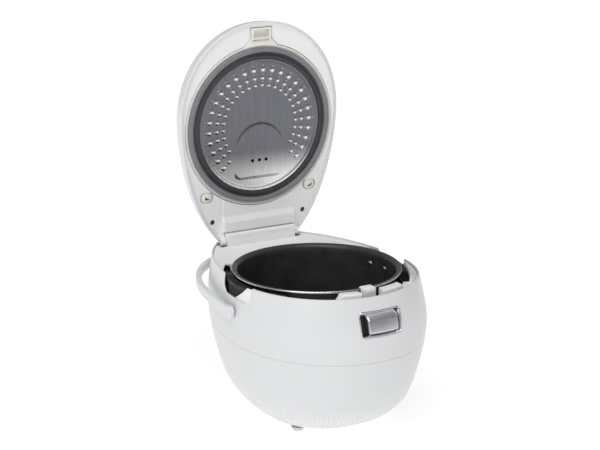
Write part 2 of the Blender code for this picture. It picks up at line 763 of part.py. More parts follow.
def pot_grips(parent):
    for side, name in ((-1, "pot_grip_left"), (1, "pot_grip_right")):
        turn = 180.0 if side < 0 else 0.0
        low, high = GRIP_ANGLES
        rail = sector(GRIP_INNER, GRIP_OUTER, GRIP_LOW, GRIP_HIGH, turn + low, turn + high)
        item = put(name, *rail, BLACK, parent, (side * 113.0, 0.0, 190.0))
        low, high = SKIRT_ANGLES
        skirt = sector(GRIP_INNER, GRIP_OUTER, SKIRT_Z, GRIP_LOW + 0.8, turn + low, turn + high, 8)
        boolean(item, cutter("add_skirt_" + name, *skirt, parent), "UNION")
        rivet_holes(item, parent, 2.6)


def rivets(parent):
    for side, angle in rivet_spots():
        name = "rivet_%s_%s" % ("left" if side < 0 else "right", "front" if side * angle < 0 else "rear")
        put(name, *rivet_shape(4.4, 2.1, 1.4, 7.0, side, angle, 8), STEEL, parent)


# ---- lid, drawn shut -------------------------------------------------------------------

def lid_rings(inset, drop, low):
    """Outside (inset 0) or room inside of the lid's dome."""
    rings = [lid_ring(1.0, inset + 0.8, low), lid_ring(1.0, inset, low + 1.4),
             lid_ring(DOME_SCALE, inset, LID_SKIRT_Z)]
    for k in range(1, 6):
        a = math.radians(90 * k / 6)
        rings.append(lid_ring(DOME_SCALE * math.cos(a) ** DOME_POWER, inset * math.cos(a),
                              LID_SKIRT_Z + (LID_DOME - drop) * math.sin(a)))
    return rings


def lid_shell(parent):
    item = put("lid_shell", *loft(lid_rings(0.0, 0.0, LID_EDGE_Z)), WHITE, parent)
    wall = LID_WALL
    room = cutter("room_in_lid", *loft(lid_rings(wall, wall, LID_EDGE_Z - 3.0)), parent)
    for name, target, extra in (("lid", item, 0.0), ("room", room, wall)):
        back = block((-200.0, LID_CUT_Y - extra, UNDER_LID), (200.0, 260.0, OVER_LID))
        boolean(target, cutter("cut_back_" + name, *back, parent))
        slot = block((-BLOCK_HALF - GAP - extra, LID_NOTCH_Y - extra, UNDER_LID),
                     (BLOCK_HALF + GAP + extra, 260.0, OVER_LID))
        boolean(target, cutter("cut_slot_" + name, *slot, parent))
    boolean(item, room)
    for side in (-1, 1):
        ends = sorted((side * (EAR_INNER - 0.4), side * (EAR_OUTER + 0.5)))
        room_for_ear = block((ends[0], 142.6, 190.0), (ends[1], 170.0, 210.4))
        boolean(item, cutter("cut_ear_%d" % (side + 1), *room_for_ear, parent))
    vent = turned(((VENT_RADIUS + 0.5, 230.0), (VENT_RADIUS + 0.5, 270.0)), 24, centre=VENT_SPOT)
    boolean(item, cutter("cut_vent", *vent, parent))
    boolean(item, cutter("cut_panel", *panel_prism(GAP, 225.0), parent))
    return item


def neck_outline(grow):
    """Front tongue of the inner lid's ring, which carries the catch."""
    g = grow
    return ((-26.0 - g, -100.0), (26.0 + g, -100.0), (26.0 + g, -109.8), (16.0 + g, -121.0),
            (16.0 + g, -135.4 - g), (-16.0 - g, -135.4 - g), (-16.0 - g, -121.0), (-26.0 - g, -109.8))


def ear_outline():
    """Hinge ear from the side: an arm that ends in a round eye."""
    outline = [(146.0, 206.6), (150.0, 203.4)]
    for k in range(13):
        a = math.radians(200 + 250 * k / 12)
        outline.append((HINGE_Y + EAR_RADIUS * math.cos(a), HINGE_Z + EAR_RADIUS * math.sin(a)))
    return outline + [(146.0, 208.4)]


def lid_frame(parent):
    """Underside plate of the lid, with a round opening and the two hinge ears."""
    inset = LID_WALL + GAP + 0.9
    low, high = FRAME_Z, FRAME_Z + FRAME_THICK
    item = put("lid_frame", *loft([lid_ring(1.0, inset, low), lid_ring(1.0, inset, high)]), WHITE, parent)
    back = block((-200.0, LID_CUT_Y - inset, UNDER_LID), (200.0, 260.0, OVER_LID))
    boolean(item, cutter("cut_frame_back", *back, parent))
    slot = block((-BLOCK_HALF - inset, LID_NOTCH_Y - inset, UNDER_LID),
                 (BLOCK_HALF + inset, 260.0, OVER_LID))
    boolean(item, cutter("cut_frame_slot", *slot, parent))
    for side in (-1, 1):
        tag = "left" if side < 0 else "right"
        ends = sorted((side * EAR_INNER, side * EAR_OUTER))
        ear = prism(ear_outline(), ends[0], ends[1], "x")
        boolean(item, cutter("add_ear_" + tag, *ear, parent), "UNION")
        bore = rod(PIN_BORE, ends[0] - 2, ends[1] + 2, (HINGE_Y, HINGE_Z), "x", 24)
        boolean(item, cutter("cut_ear_bore_" + tag, *bore, parent))
        hole = turned(((3.4, UNDER_LID), (3.4, OVER_LID)), 16, centre=(side * SCREW_X, SCREW_Y))
        boolean(item, cutter("cut_screw_" + tag, *hole, parent))
        low = (side * CLIP_X - 10.2, CLIP_Y - 7.2, UNDER_LID)
        high = (side * CLIP_X + 10.2, CLIP_Y + 7.2, OVER_LID)
        boolean(item, cutter("cut_clip_" + tag, *block(low, high), parent))
    hole = turned(((RING_OUTER + 0.5, UNDER_LID), (RING_OUTER + 0.5, OVER_LID)), 44)
    boolean(item, cutter("cut_frame_hole", *hole, parent))
    boolean(item, cutter("cut_neck", *prism(neck_outline(0.5), UNDER_LID, OVER_LID), parent))
    return item


def inner_lid_ring(parent):
    """Ivory ring that carries the steel plate and its seal, with a tongue to the latch."""
    low, high = FRAME_Z - 0.6, FRAME_Z + FRAME_THICK
    profile = ((RING_INNER - 16.0, high - 1.2), (RING_INNER + 1.6, high - 1.2), (RING_INNER + 1.9, low),
               (RING_OUTER, low), (RING_OUTER, high + 0.8), (RING_INNER - 16.0, high + 0.8))
    item = put("inner_lid_ring", *turned(profile, 44, closed=True), IVORY, parent)
    tongue = prism(neck_outline(0.0), FRAME_Z, high + 0.8)
    tongue = cutter("add_tongue", *tongue, parent)
    hub = turned(((RING_OUTER - 1.5, UNDER_LID), (RING_OUTER - 1.5, OVER_LID)), 44)
    boolean(tongue, cutter("trim_tongue", *hub, parent))
    boolean(item, tongue, "UNION")
    window = block((-12.2, -132.6, UNDER_LID), (12.2, -116.5, OVER_LID))
    boolean(item, cutter("cut_window", *window, parent))
    return item


def lid_catch(parent):
    """Raised frame round the latch window; its rear bar is what the hook's nose holds."""
    outline = [(x, y - 127.2) for x, y in rounded_rect(29.6, 15.4, 1.5, 2)]
    low = FRAME_Z - 2.6
    item = put("lid_catch", *prism(outline, low, FRAME_Z - GAP), IVORY, parent)
    window = block((-12.2, -132.6, UNDER_LID), (12.2, -121.5, OVER_LID))
    boolean(item, cutter("cut_catch", *window, parent))
    return item


def inner_lid_plate(parent):
    """Brushed steel plate, dished, with three steam holes."""
    low = FRAME_Z - 0.4
    rings = [circle(91.8, low, 44), circle(91.8, low + 0.9, 44)]
    item = put("inner_lid_plate", *loft(rings), STEEL, parent)
    for k, x in enumerate((-10.5, 0.0, 10.5)):
        hole = turned(((2.4, UNDER_LID), (2.4, OVER_LID)), 12, centre=(x, 49.0))
        boolean(item, cutter("cut_steam_hole_%d" % k, *hole, parent))
    return item


def lid_gasket(parent):
    """Moulded seal: a flat lip inside and a raised bead that meets the pot's rim."""
    top = FRAME_Z + 0.4
    profile = ((GASKET_INNER, top), (GASKET_INNER, 204.2), (101.4, 204.2),
               (103.6, SEAL_Z), (108.8, SEAL_Z), (109.8, 204.0), (109.8, top))
    return put("lid_gasket", *turned(profile, 40, closed=True), DARK_RUBBER, parent)


def lid_screws(parent):
    for side, name in ((-1, "lid_screw_left"), (1, "lid_screw_right")):
        profile = ((3.0, 206.8), (3.0, 208.8), (1.6, 208.8), (1.6, 222.0))
        put(name, *turned(profile, 10, centre=(side * SCREW_X, SCREW_Y)), STEEL, parent)


def lid_clip(parent, side):
    """Sliding clip that holds the inner lid's ring."""
    name = "lid_clip_left" if side < 0 else "lid_clip_right"
    x = side * CLIP_X
    outline = [(a + x, b + CLIP_Y) for a, b in rounded_rect(15.6, 13.4, 2.0, 2)]
    return put(name, *prism(outline, FRAME_Z - 2.2, FRAME_Z + FRAME_THICK), IVORY, parent,
               (x, CLIP_Y, FRAME_Z))


def steam_vent(parent):
    """Vent housing in the lid's dome, open all the way through."""
    profile = ((6.0, 226.0), (VENT_RADIUS, 226.0), (VENT_RADIUS, 247.4), (14.6, 247.4), (14.6, 229.0),
               (6.0, 229.0))
    return put("steam_vent", *turned(profile, 24, True, VENT_SPOT), GREY, parent)


def steam_cap(parent):
    """Lift-out cap of the vent, with a slot for the steam."""
    profile = ((14.0, 240.0), (14.2, 248.2), (17.6, 248.2), (17.6, 251.0), (16.4, 252.0))
    item = put("steam_cap", *turned(profile, 24, centre=VENT_SPOT), GREY, parent, (*VENT_SPOT, CAP_Z))
    slot = block((-9.0, 56.6, 243.0), (9.0, 59.0, 260.0))
    boolean(item, cutter("cut_cap_slot", *slot, parent))
    return item


def dome_height(x, y):
    """Height of the lid's outer surface over a point, found by halving the dome's angle."""
    low, high = 0.0, math.pi / 2
    for _ in range(24):
        angle = (low + high) / 2
        scale = DOME_SCALE * math.cos(angle) ** DOME_POWER
        reach = LID_REAR * scale - WIDEST_Y if y > WIDEST_Y else LID_FRONT * scale + WIDEST_Y
        inside = (abs(x) / (LID_HALF * scale)) ** 2 + ((y - WIDEST_Y) / reach) ** 2 < 1
        low, high = (angle, high) if inside else (low, angle)
    return LID_SKIRT_Z + LID_DOME * math.sin(low)


def panel_prism(grow, low):
    outline = rounded_rect(PANEL_WIDE + 2 * grow, PANEL_LONG + 2 * grow, 10.0 + grow, 2)
    return prism([(x, y + PANEL_Y) for x, y in outline], low, 275.0)


def display_prism(grow, low):
    outline = rounded_rect(50.0 + 2 * grow, 26.0 + 2 * grow, 2.0 + grow, 2)
    return prism([(x, y + DISPLAY_Y) for x, y in outline], low, 275.0)


def control_panel(parent):
    """Curved panel let into the dome, with blind holes for the window and the keys."""
    item = put("control_panel", *loft(lid_rings(-0.5, -0.5, LID_EDGE_Z)), GREY, parent)
    boolean(item, cutter("trim_panel", *panel_prism(0.0, PANEL_LOW), parent), "INTERSECT")
    boolean(item, cutter("cut_window_panel", *display_prism(0.3, 247.0), parent))
    for name, x, y, radius in KEYS:
        seat = dome_height(x, y) - 4.0
        hole = turned(((radius + 0.4, seat), (radius + 0.4, 275.0)), 16, centre=(x, y))
        boolean(item, cutter("cut_" + name, *hole, parent))
    return item


def display_window(parent):
    item = put("display_window", *loft(lid_rings(-0.5, -0.5, LID_EDGE_Z)), BLACK, parent)
    boolean(item, cutter("trim_display", *display_prism(0.0, 247.4), parent), "INTERSECT")
    return item


def panel_key(parent, x, y, radius, name):
    top = dome_height(x, y) + KEY_PROUD
    profile = ((radius, top - 3.6), (radius, top - 0.6), (radius - 0.8, top))
    return put(name, *turned(profile, 16, centre=(x, y)), WHITE, parent, (x, y, top))


def lid_board(parent):
    return put("lid_board", *block((-44.0, -96.0, 229.0), (44.0, -24.0, 230.6)), BOARD_GREEN, parent)


# ---- assembly --------------------------------------------------------------------------

def mark(item, place):
    item["at"] = place
    return item


def build_body(root):
    base_cover(root)
    feet(root)
    lower_shell(root)
    upper_shell(root)
    top_collar(root)
    inner_case(root)
    heater_band(root)
    heater_plate(root)
    heating_element(root)
    thermal_fuse(root)
    plunger_spring(root)
    power_board(root)
    mains_inlet(root)
    hinge_block(root)
    hinge_pin(root)
    hinge_spring(root)
    button_bezel(root)
    button_spring(root)
    latch_pin(root)
    bail_pins(root)


def build_lid(pivot):
    lid_shell(pivot)
    lid_frame(pivot)
    inner_lid_ring(pivot)
    lid_catch(pivot)
    inner_lid_plate(pivot)
    lid_gasket(pivot)
    lid_screws(pivot)
    steam_vent(pivot)
    control_panel(pivot)
    display_window(pivot)
    lid_board(pivot)


def joint_empty(name, place, parent):
    start = parent.get("at", (0.0, 0.0, 0.0))
    spot = [p - q for p, q in zip(place, start)]
    return mark(empty(name, spot, parent), place)


def main():
    clear_scene()
    root = mark(empty("assembly", (0.0, -ORIGIN_Y, 0.0), None), (0.0, 0.0, 0.0))
    build_body(root)
    plunger(joint_empty("plunger_axis", (0.0, 0.0, PLUNGER_Z), root))
    open_button(joint_empty("button_axis", (0.0, BUTTON_Y, BUTTON_Z), root))
    latch_hook(joint_empty("latch_axis", (0.0, *HOOK_PIVOT), root))
    bail_handle(joint_empty("bail_axis", (0.0, PIVOT_Y, PIVOT_Z), root))
    pot = joint_empty("pot_axis", (0.0, 0.0, POT_Z), root)
    inner_pot(pot)
    pot_grips(pot)
    rivets(pot)
    lid = joint_empty("lid_axis", (0.0, HINGE_Y, HINGE_Z), root)
    build_lid(lid)
    for side, name in ((-1, "clip_left_axis"), (1, "clip_right_axis")):
        lid_clip(joint_empty(name, (side * CLIP_X, CLIP_Y, FRAME_Z), lid), side)
    steam_cap(joint_empty("cap_axis", (*VENT_SPOT, CAP_Z), lid))
    for name, x, y, radius in KEYS:
        place = (x, y, dome_height(x, y) + KEY_PROUD)
        panel_key(joint_empty(name + "_axis", place, lid), x, y, radius, name)
    lid.rotation_euler.x = -math.radians(OPEN_ANGLE)


main()
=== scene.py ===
"""Looks of the rice cooker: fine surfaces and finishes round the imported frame.

Sizes are millimetres round the pot's axis, with -Y the front, as in the part's own
source, and at() turns them into metres in the frame.  Lid pieces are drawn shut, and
LID_TURN swings them open to where the lid rests.  A profile is a list of (radius,
height) pairs for turning; an outline is a list of points in the plane it is drawn in.
"""
import json
import math

import bmesh
import bpy
import numpy as np
from mathutils import Matrix, Vector


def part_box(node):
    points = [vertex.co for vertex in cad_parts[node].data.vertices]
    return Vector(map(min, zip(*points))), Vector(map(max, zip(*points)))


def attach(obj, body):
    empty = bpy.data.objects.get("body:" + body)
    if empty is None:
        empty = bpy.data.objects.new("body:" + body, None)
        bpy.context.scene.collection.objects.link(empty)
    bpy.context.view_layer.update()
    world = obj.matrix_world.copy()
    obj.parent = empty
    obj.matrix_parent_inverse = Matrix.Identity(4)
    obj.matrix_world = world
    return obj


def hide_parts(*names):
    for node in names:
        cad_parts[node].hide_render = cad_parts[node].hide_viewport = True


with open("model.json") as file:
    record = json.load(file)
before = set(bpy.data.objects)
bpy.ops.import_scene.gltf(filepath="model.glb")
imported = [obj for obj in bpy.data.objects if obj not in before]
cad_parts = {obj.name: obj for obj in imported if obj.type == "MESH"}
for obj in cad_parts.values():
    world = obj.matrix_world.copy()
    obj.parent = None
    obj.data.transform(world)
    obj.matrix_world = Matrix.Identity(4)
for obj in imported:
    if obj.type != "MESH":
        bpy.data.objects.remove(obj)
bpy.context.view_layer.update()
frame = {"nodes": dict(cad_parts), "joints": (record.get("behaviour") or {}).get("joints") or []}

MM = 0.001

# where the pot's axis and the hinge are, from the frame
pot_low, pot_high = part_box("inner_pot")
AXIS_Y = (pot_low.y + pot_high.y) / 2
HINGE_Y, HINGE_Z = 159.0, 203.0
lid_joint = next(j for j in frame["joints"] if j["name"] == "lid_hinge")
OPEN_ANGLE = math.radians(-lid_joint["range_deg"][0])
hinge_spot = Vector(lid_joint["pos_m"])
LID_TURN = (
    Matrix.Translation(hinge_spot)
    @ Matrix.Rotation(-OPEN_ANGLE, 4, "X")
    @ Matrix.Translation(-hinge_spot)
)

# body outline: height, half width, reach to the front, reach to the rear
BODY_STATIONS = np.array((
    (6.0, 72.0, 86.0, 108.0),
    (20.0, 91.0, 113.0, 141.0),
    (35.0, 104.5, 131.0, 163.0),
    (60.0, 115.0, 145.0, 180.0),
    (85.0, 121.5, 153.0, 190.0),
    (119.0, 127.9, 161.0, 199.5),
    (140.0, 129.8, 163.0, 202.5),
    (160.0, 128.6, 161.6, 202.0),
    (180.0, 125.5, 156.0, 200.0),
    (201.0, 122.6, 146.5, 197.0),
))
STATION_SLOPES = np.gradient(BODY_STATIONS[:, 1:], BODY_STATIONS[:, 0], axis=0)
WIDEST_Y = -12.0
FRONT_POWER = 2.1
TAPER = 0.08
GAP = 0.4
BODY_WALL = 2.4
BODY_STEPS = 240
BAND_BOTTOM, BAND_TOP = 6.0, 20.0
RIB_COUNT = 130
RIB_STEPS = RIB_COUNT * 10
RIB_DEPTH = 2.0
RIB_TOP = 46.0
RIB_GAP = 0.14
RIB_FADE = 6.0
GROOVE_POWER = 0.8
SEAM_Z = 119.0
SEAM_ROUND = 0.4
SEAM_GAP = 0.16
CREST_Z = 201.0
NOTCH_ENDS = {-1: (-41.5, 36.0), 1: (-25.5, 32.0)}
NOTCH_Z = 179.0
NOTCH_TOP_ROUND, NOTCH_FRONT_ROUND, NOTCH_REAR_ROUND = 3.6, 5.0, 14.0
FOOT_SPOTS = ((-57.0, -50.0), (57.0, -50.0), (-57.0, 78.0), (57.0, 78.0))

# deck, guards and hinge
DECK_FRONT_Z, DECK_REAR_Z = 188.0, 198.5
DECK_SLOPE_HALF = 60.0
DECK_WALL = 2.2
DECK_HOLE = 114.5
DECK_BOTTOM = 171.0
GUARD_TOP = 205.2
GUARD_INNER, GUARD_OUTER = 15.4, {-1: 44.5, 1: 53.0}
DECK_COVE = 10.0
GUARD_SETBACK = 6.4
BLOCK_HALF = 53.2
BLOCK_FRONT, BLOCK_REAR, BLOCK_TOP = 150.0, 170.0, 214.7
PIN_RADIUS, PIN_BORE = 3.0, 3.4
EAR_INNER, EAR_OUTER, EAR_RADIUS = 54.0, 61.0, 6.0

# pot
RIM_RADIUS = 112.0
POT_RADIUS, POT_INNER = 105.4, 104.0
POT_BOTTOM, POT_FLOOR, POT_CORNER = 52.4, 54.4, 24.0
GRIP_OUTER = 119.6
GRIP_ANGLES = (-30.0, 40.0)
SKIRT_ANGLES = (-12.0, 26.0)
SKIRT_Z = 177.6
GRIP_CLEAR = 122.6
RIVET_ANGLES = (-1.5, 15.5)
RIVET_Z = 182.0

# lid, drawn shut
LID_HALF, LID_FRONT, LID_REAR = 121.0, 144.0, 188.0
LID_EDGE_Z, LID_SKIRT_Z, LID_DOME = 203.0, 215.0, 37.0
LID_WALL = 2.4
DOME_POWER = 0.62
DOME_SCALE = 0.988
LID_CUT_Y, LID_NOTCH_Y = 157.5, 145.5
FRAME_Z, FRAME_THICK = 206.0, 2.0
FRAME_INSET = LID_WALL + 0.6
RING_OUTER, RING_INNER = 112.6, 108.4
SEAL_Z = 202.6
BACKING_Z = 208.9  # just behind the frame
CLIP_X, CLIP_Y = 80.2, 93.8
SCREW_X, SCREW_Y = 71.0, 130.0
VENT_SPOT, VENT_RADIUS = (0.0, 60.0), 18.0
PANEL_WIDE, PANEL_LONG, PANEL_Y, PANEL_LOW = 96.0, 84.0, -60.0, 234.0
DISPLAY_Y = -38.0
KEY_PROUD = 1.2
KEYS = (
    ("key_menu", -34.0, -70.0, 6.0),
    ("key_minus", -17.0, -80.0, 6.0),
    ("key_start", 0.0, -70.0, 8.0),
    ("key_plus", 17.0, -80.0, 6.0),
    ("key_cancel", 34.0, -70.0, 6.0),
)

# button and latch
BUTTON_X, BUTTON_Z = 1.5, 169.0
BUTTON_WIDE, BUTTON_TALL, BUTTON_CORNER = 61.0, 32.0, 5.6
PUSH_X, PUSH_WIDE, PUSH_TALL, PUSH_CORNER = 5.5, 45.3, 25.7, 4.0
HOOK_HALF = 8.8
NOSE_Z = 206.0
HOOK_Y, HOOK_Z = -128.5, 190.0

# bail
PIVOT_Y, PIVOT_Z = -8.0, 163.0
BAIL_HALF, BAIL_REAR, BAIL_BEND_Y = 134.2, 207.5, 12.0
BAIL_POWER = 2.08
BAIL_RISE, BAIL_RISE_RUN = 4.4, 93.5
BAIL_THICK, BAIL_ARM_TALL, BAIL_BAR_TALL, BAIL_TALL_RUN = 7.5, 15.9, 12.0, 200.0
BOSS_RADIUS = 8.6

# steel plate inside the lid
PLATE_RADIUS = 91.8
PLATE_Z = FRAME_Z - 0.4
DIMPLE_PITCH = 10.6
DIMPLE_ROWS = (  # radius of the row, size, first and last place in the row
    (56.0, 3.4, -12, 11), (60.9, 1.5, -12, 11), (65.6, 3.7, -13, 12),
    (71.0, 1.6, -13, 12), (77.2, 4.5, -13, 12), (83.4, 1.7, -13, 12),
)
SMALL_DIMPLE = 2.0
DIMPLE_START = -87.0
DIMPLE_HEIGHT = 1.0
ARCH_HALF = 37.0
ARCH_TOP_Y, ARCH_LOW_Y = -2.6, 73.0
STEAM_HOLES = (-10.7, 0.0, 10.5)
PLATE_PAINTED_LIGHT_Z = (0.330, 0.262)  # heights in the frame, in metres, between which painted light brightens the steel

# camera, floor and light
CAMERA_AZIMUTH, CAMERA_RISE = 29.84, 15.52
CAMERA_DISTANCE, CAMERA_TARGET_Z = 2250.0, 150.0
CAMERA_SIDE, CAMERA_UP = -21.9, 103.7
CAMERA_LENS, SENSOR = 102.0, 36.0
FLOOR_HALF = 6.0
FLOOR_NEAR, FLOOR_FAR = 0.69, 0.95
FLOOR_SPAN = (0.25, 1.3)  # distances from the cooker, in metres, between which the floor brightens
SKY = 0.33

# CAD pieces that are shown as they are, and the finish of each
KEPT = {
    "side_heater": "rubber", "heating_element": "steel", "thermal_fuse": "grey", "plunger_spring": "steel",
    "power_board": "board", "hinge_spring": "steel", "button_spring": "steel", "latch_pin": "steel",
    "bail_pin_left": "grey", "bail_pin_right": "grey", "lid_board": "board",
}


def at(point):
    """A point in mm round the pot's axis, in metres in the frame."""
    return Vector((point[0] * MM, point[1] * MM + AXIS_Y, point[2] * MM))


# ---- finishes --------------------------------------------------------------------------

def shader_of(name, color, roughness, metallic=0.0):
    mat = bpy.data.materials.new(name)
    mat.use_nodes = True
    shader = mat.node_tree.nodes["Principled BSDF"]
    shader.inputs["Base Color"].default_value = (*color, 1.0)
    shader.inputs["Roughness"].default_value = roughness
    shader.inputs["Metallic"].default_value = metallic
    return mat, mat.node_tree, shader


def noise_at(tree, scale, detail, stretch=(1.0, 1.0, 1.0)):
    """Noise in the object's own metres; scale is features per metre."""
    coords = tree.nodes.new("ShaderNodeTexCoord")
    mapping = tree.nodes.new("ShaderNodeMapping")
    mapping.inputs["Scale"].default_value = stretch
    texture = tree.nodes.new("ShaderNodeTexNoise")
    texture.inputs["Scale"].default_value = scale
    texture.inputs["Detail"].default_value = detail
    tree.links.new(coords.outputs["Object"], mapping.inputs["Vector"])
    tree.links.new(mapping.outputs["Vector"], texture.inputs["Vector"])
    return texture.outputs["Fac"]


def mapped(tree, value, spans, smooth=False):
    """Maps a link from the first span to the second; smooth eases both ends."""
    step = tree.nodes.new("ShaderNodeMapRange")
    step.interpolation_type = "SMOOTHSTEP" if smooth else "LINEAR"
    for socket, number in zip(("From Min", "From Max", "To Min", "To Max"), spans):
        step.inputs[socket].default_value = number
    tree.links.new(value, step.inputs["Value"])
    return step.outputs["Result"]


def ranged(tree, noise, low, high):
    """Noise spread over low to high."""
    return mapped(tree, noise, (0.3, 0.7, low, high))


def mixed(tree, factor, below, above):
    """Mixes two colours or links by a factor link."""
    mix = tree.nodes.new("ShaderNodeMix")
    mix.data_type = "RGBA"
    tree.links.new(factor, mix.inputs["Factor"])
    for socket, value in (("A", below), ("B", above)):
        if isinstance(value, (list, tuple)):
            mix.inputs[socket].default_value = (*value, 1.0)
        else:
            tree.links.new(value, mix.inputs[socket])
    return mix.outputs["Result"]


def bumped(tree, shader, heights, strength, depth):
    bump = tree.nodes.new("ShaderNodeBump")
    bump.inputs["Strength"].default_value = strength
    bump.inputs["Distance"].default_value = depth
    tree.links.new(heights, bump.inputs["Height"])
    tree.links.new(bump.outputs["Normal"], shader.inputs["Normal"])


def moulded(name, color, roughness, grain, depth, mottle=0.03, coat=0.0, uneven=1.0):
    """Moulded plastic or rubber: a fine grain, faint mottling and uneven gloss."""
    mat, tree, shader = shader_of(name, color, roughness)
    broad = ranged(tree, noise_at(tree, 26.0, 4.0), 0.0, 1.0)
    dark = [c * (1 - mottle) for c in color]
    light = [min(1.0, c * (1 + mottle)) for c in color]
    tree.links.new(mixed(tree, broad, dark, light), shader.inputs["Base Color"])
    gloss = noise_at(tree, 110.0, 3.0)
    span = (0.06 + roughness * 0.12) * uneven
    tree.links.new(ranged(tree, gloss, roughness - span, roughness + span), shader.inputs["Roughness"])
    bumped(tree, shader, noise_at(tree, grain, 2.0), 0.35, depth)
    shader.inputs["Coat Weight"].default_value = coat
    shader.inputs["Coat Roughness"].default_value = 0.12
    return mat


def brushed(name, dark, light, roughness, stretch, depth=0.00002, streak=900.0):
    """Metal with fine streaks along the axis that stretch makes small."""
    mat, tree, shader = shader_of(name, light, roughness, 1.0)
    streaks = noise_at(tree, streak, 4.0, stretch)
    tone = mixed(tree, ranged(tree, streaks, 0.0, 1.0), dark, light)
    tree.links.new(tone, shader.inputs["Base Color"])
    tree.links.new(ranged(tree, streaks, roughness + 0.1, roughness - 0.06), shader.inputs["Roughness"])
    bumped(tree, shader, streaks, 0.5, depth)
    return mat


def coated(name, color, roughness):
    """Dark non-stick coating with fine mineral speckle."""
    mat, tree, shader = shader_of(name, color, roughness)
    coords = tree.nodes.new("ShaderNodeTexCoord")
    cells = tree.nodes.new("ShaderNodeTexVoronoi")
    cells.inputs["Scale"].default_value = 520.0
    tree.links.new(coords.outputs["Object"], cells.inputs["Vector"])
    speck = mapped(tree, cells.outputs["Distance"], (0.10, 0.22, 1.0, 0.0))
    broad = noise_at(tree, 40.0, 4.0)
    dark, light = [c * 0.8 for c in color], [c * 1.25 for c in color]
    base = mixed(tree, ranged(tree, broad, 0.0, 1.0), dark, light)
    tree.links.new(mixed(tree, speck, base, (0.085, 0.085, 0.09)), shader.inputs["Base Color"])
    tree.links.new(ranged(tree, broad, roughness - 0.05, roughness + 0.07), shader.inputs["Roughness"])
    bumped(tree, shader, noise_at(tree, 1500.0, 3.0), 0.25, 0.00003)
    return mat


def plate_steel():
    """Brushed lid plate in painted light: painted dark for the dark surroundings it reflects, with a painted
    warm light towards the hinge and painted highlights on the dimples.
    """
    # painted reflection: the steel is painted far darker than steel, for the dark surroundings it reflects
    dark, light = (0.134, 0.137, 0.153), (0.158, 0.161, 0.179)
    mat, tree, shader = shader_of("plate_steel", light, 0.30, 1.0)
    streaks = noise_at(tree, 1500.0, 5.0, (1.0, 0.05, 0.012))
    tone = mixed(tree, ranged(tree, streaks, 0.0, 1.0), dark, light)
    coords = tree.nodes.new("ShaderNodeTexCoord")
    apart = tree.nodes.new("ShaderNodeSeparateXYZ")
    tree.links.new(coords.outputs["Object"], apart.inputs["Vector"])
    # painted light: the steel is painted bright and a little warm towards the hinge
    fall = mapped(tree, apart.outputs["Z"], (*PLATE_PAINTED_LIGHT_Z, 0.0, 1.0), True)
    tone = mixed(tree, fall, tone, (0.99, 0.96, 0.95))
    # painted highlight: the dimples, marked by the raised attribute, are painted near white
    raised = tree.nodes.new("ShaderNodeAttribute")
    raised.attribute_name = "raised"
    tone = mixed(tree, raised.outputs["Fac"], tone, (0.95, 0.95, 0.96))
    tree.links.new(tone, shader.inputs["Base Color"])
    tree.links.new(ranged(tree, streaks, 0.34, 0.22), shader.inputs["Roughness"])
    bumped(tree, shader, streaks, 0.3, 0.00001)
    return mat


def seal_rubber():
    """Grey seal of one dark rubber, with a painted sheen that makes the outer lip light grey; the darker
    inner band runs from the groove inwards.
    """
    mat, tree, shader = shader_of("seal_rubber", (0.1, 0.1, 0.1), 0.42)
    coords = tree.nodes.new("ShaderNodeTexCoord")
    away = tree.nodes.new("ShaderNodeVectorMath")
    away.operation = "DISTANCE"
    away.inputs[1].default_value = tuple(LID_TURN @ at((0.0, 0.0, 205.0)))
    tree.links.new(coords.outputs["Object"], away.inputs[0])
    cloud = ranged(tree, noise_at(tree, 45.0, 4.0), 0.0, 1.0)
    inner = mixed(tree, cloud, (0.028, 0.028, 0.033), (0.038, 0.038, 0.044))
    # painted sheen: the outer lip is painted light grey on the dark rubber, masked by lip
    outer = mixed(tree, cloud, (0.190, 0.190, 0.215), (0.220, 0.220, 0.245))
    lip = mapped(tree, away.outputs["Value"], (0.1006, 0.1022, 0.0, 1.0), True)
    tree.links.new(mixed(tree, lip, inner, outer), shader.inputs["Base Color"])
    gloss = ranged(tree, noise_at(tree, 140.0, 3.0), 0.36, 0.50)
    tree.links.new(gloss, shader.inputs["Roughness"])
    bumped(tree, shader, noise_at(tree, 1600.0, 2.0), 0.3, 0.00003)
    return mat


def circuit(name):
    """Green board with a fine pattern of tracks."""
    mat, tree, shader = shader_of(name, (0.05, 0.20, 0.10), 0.4)
    coords = tree.nodes.new("ShaderNodeTexCoord")
    tracks = tree.nodes.new("ShaderNodeTexBrick")
    tracks.inputs["Scale"].default_value = 60.0
    tracks.inputs["Color1"].default_value = (0.03, 0.17, 0.08, 1.0)
    tracks.inputs["Color2"].default_value = (0.05, 0.22, 0.10, 1.0)
    tracks.inputs["Mortar"].default_value = (0.15, 0.33, 0.16, 1.0)
    tree.links.new(coords.outputs["Object"], tracks.inputs["Vector"])
    tree.links.new(tracks.outputs["Color"], shader.inputs["Base Color"])
    return mat


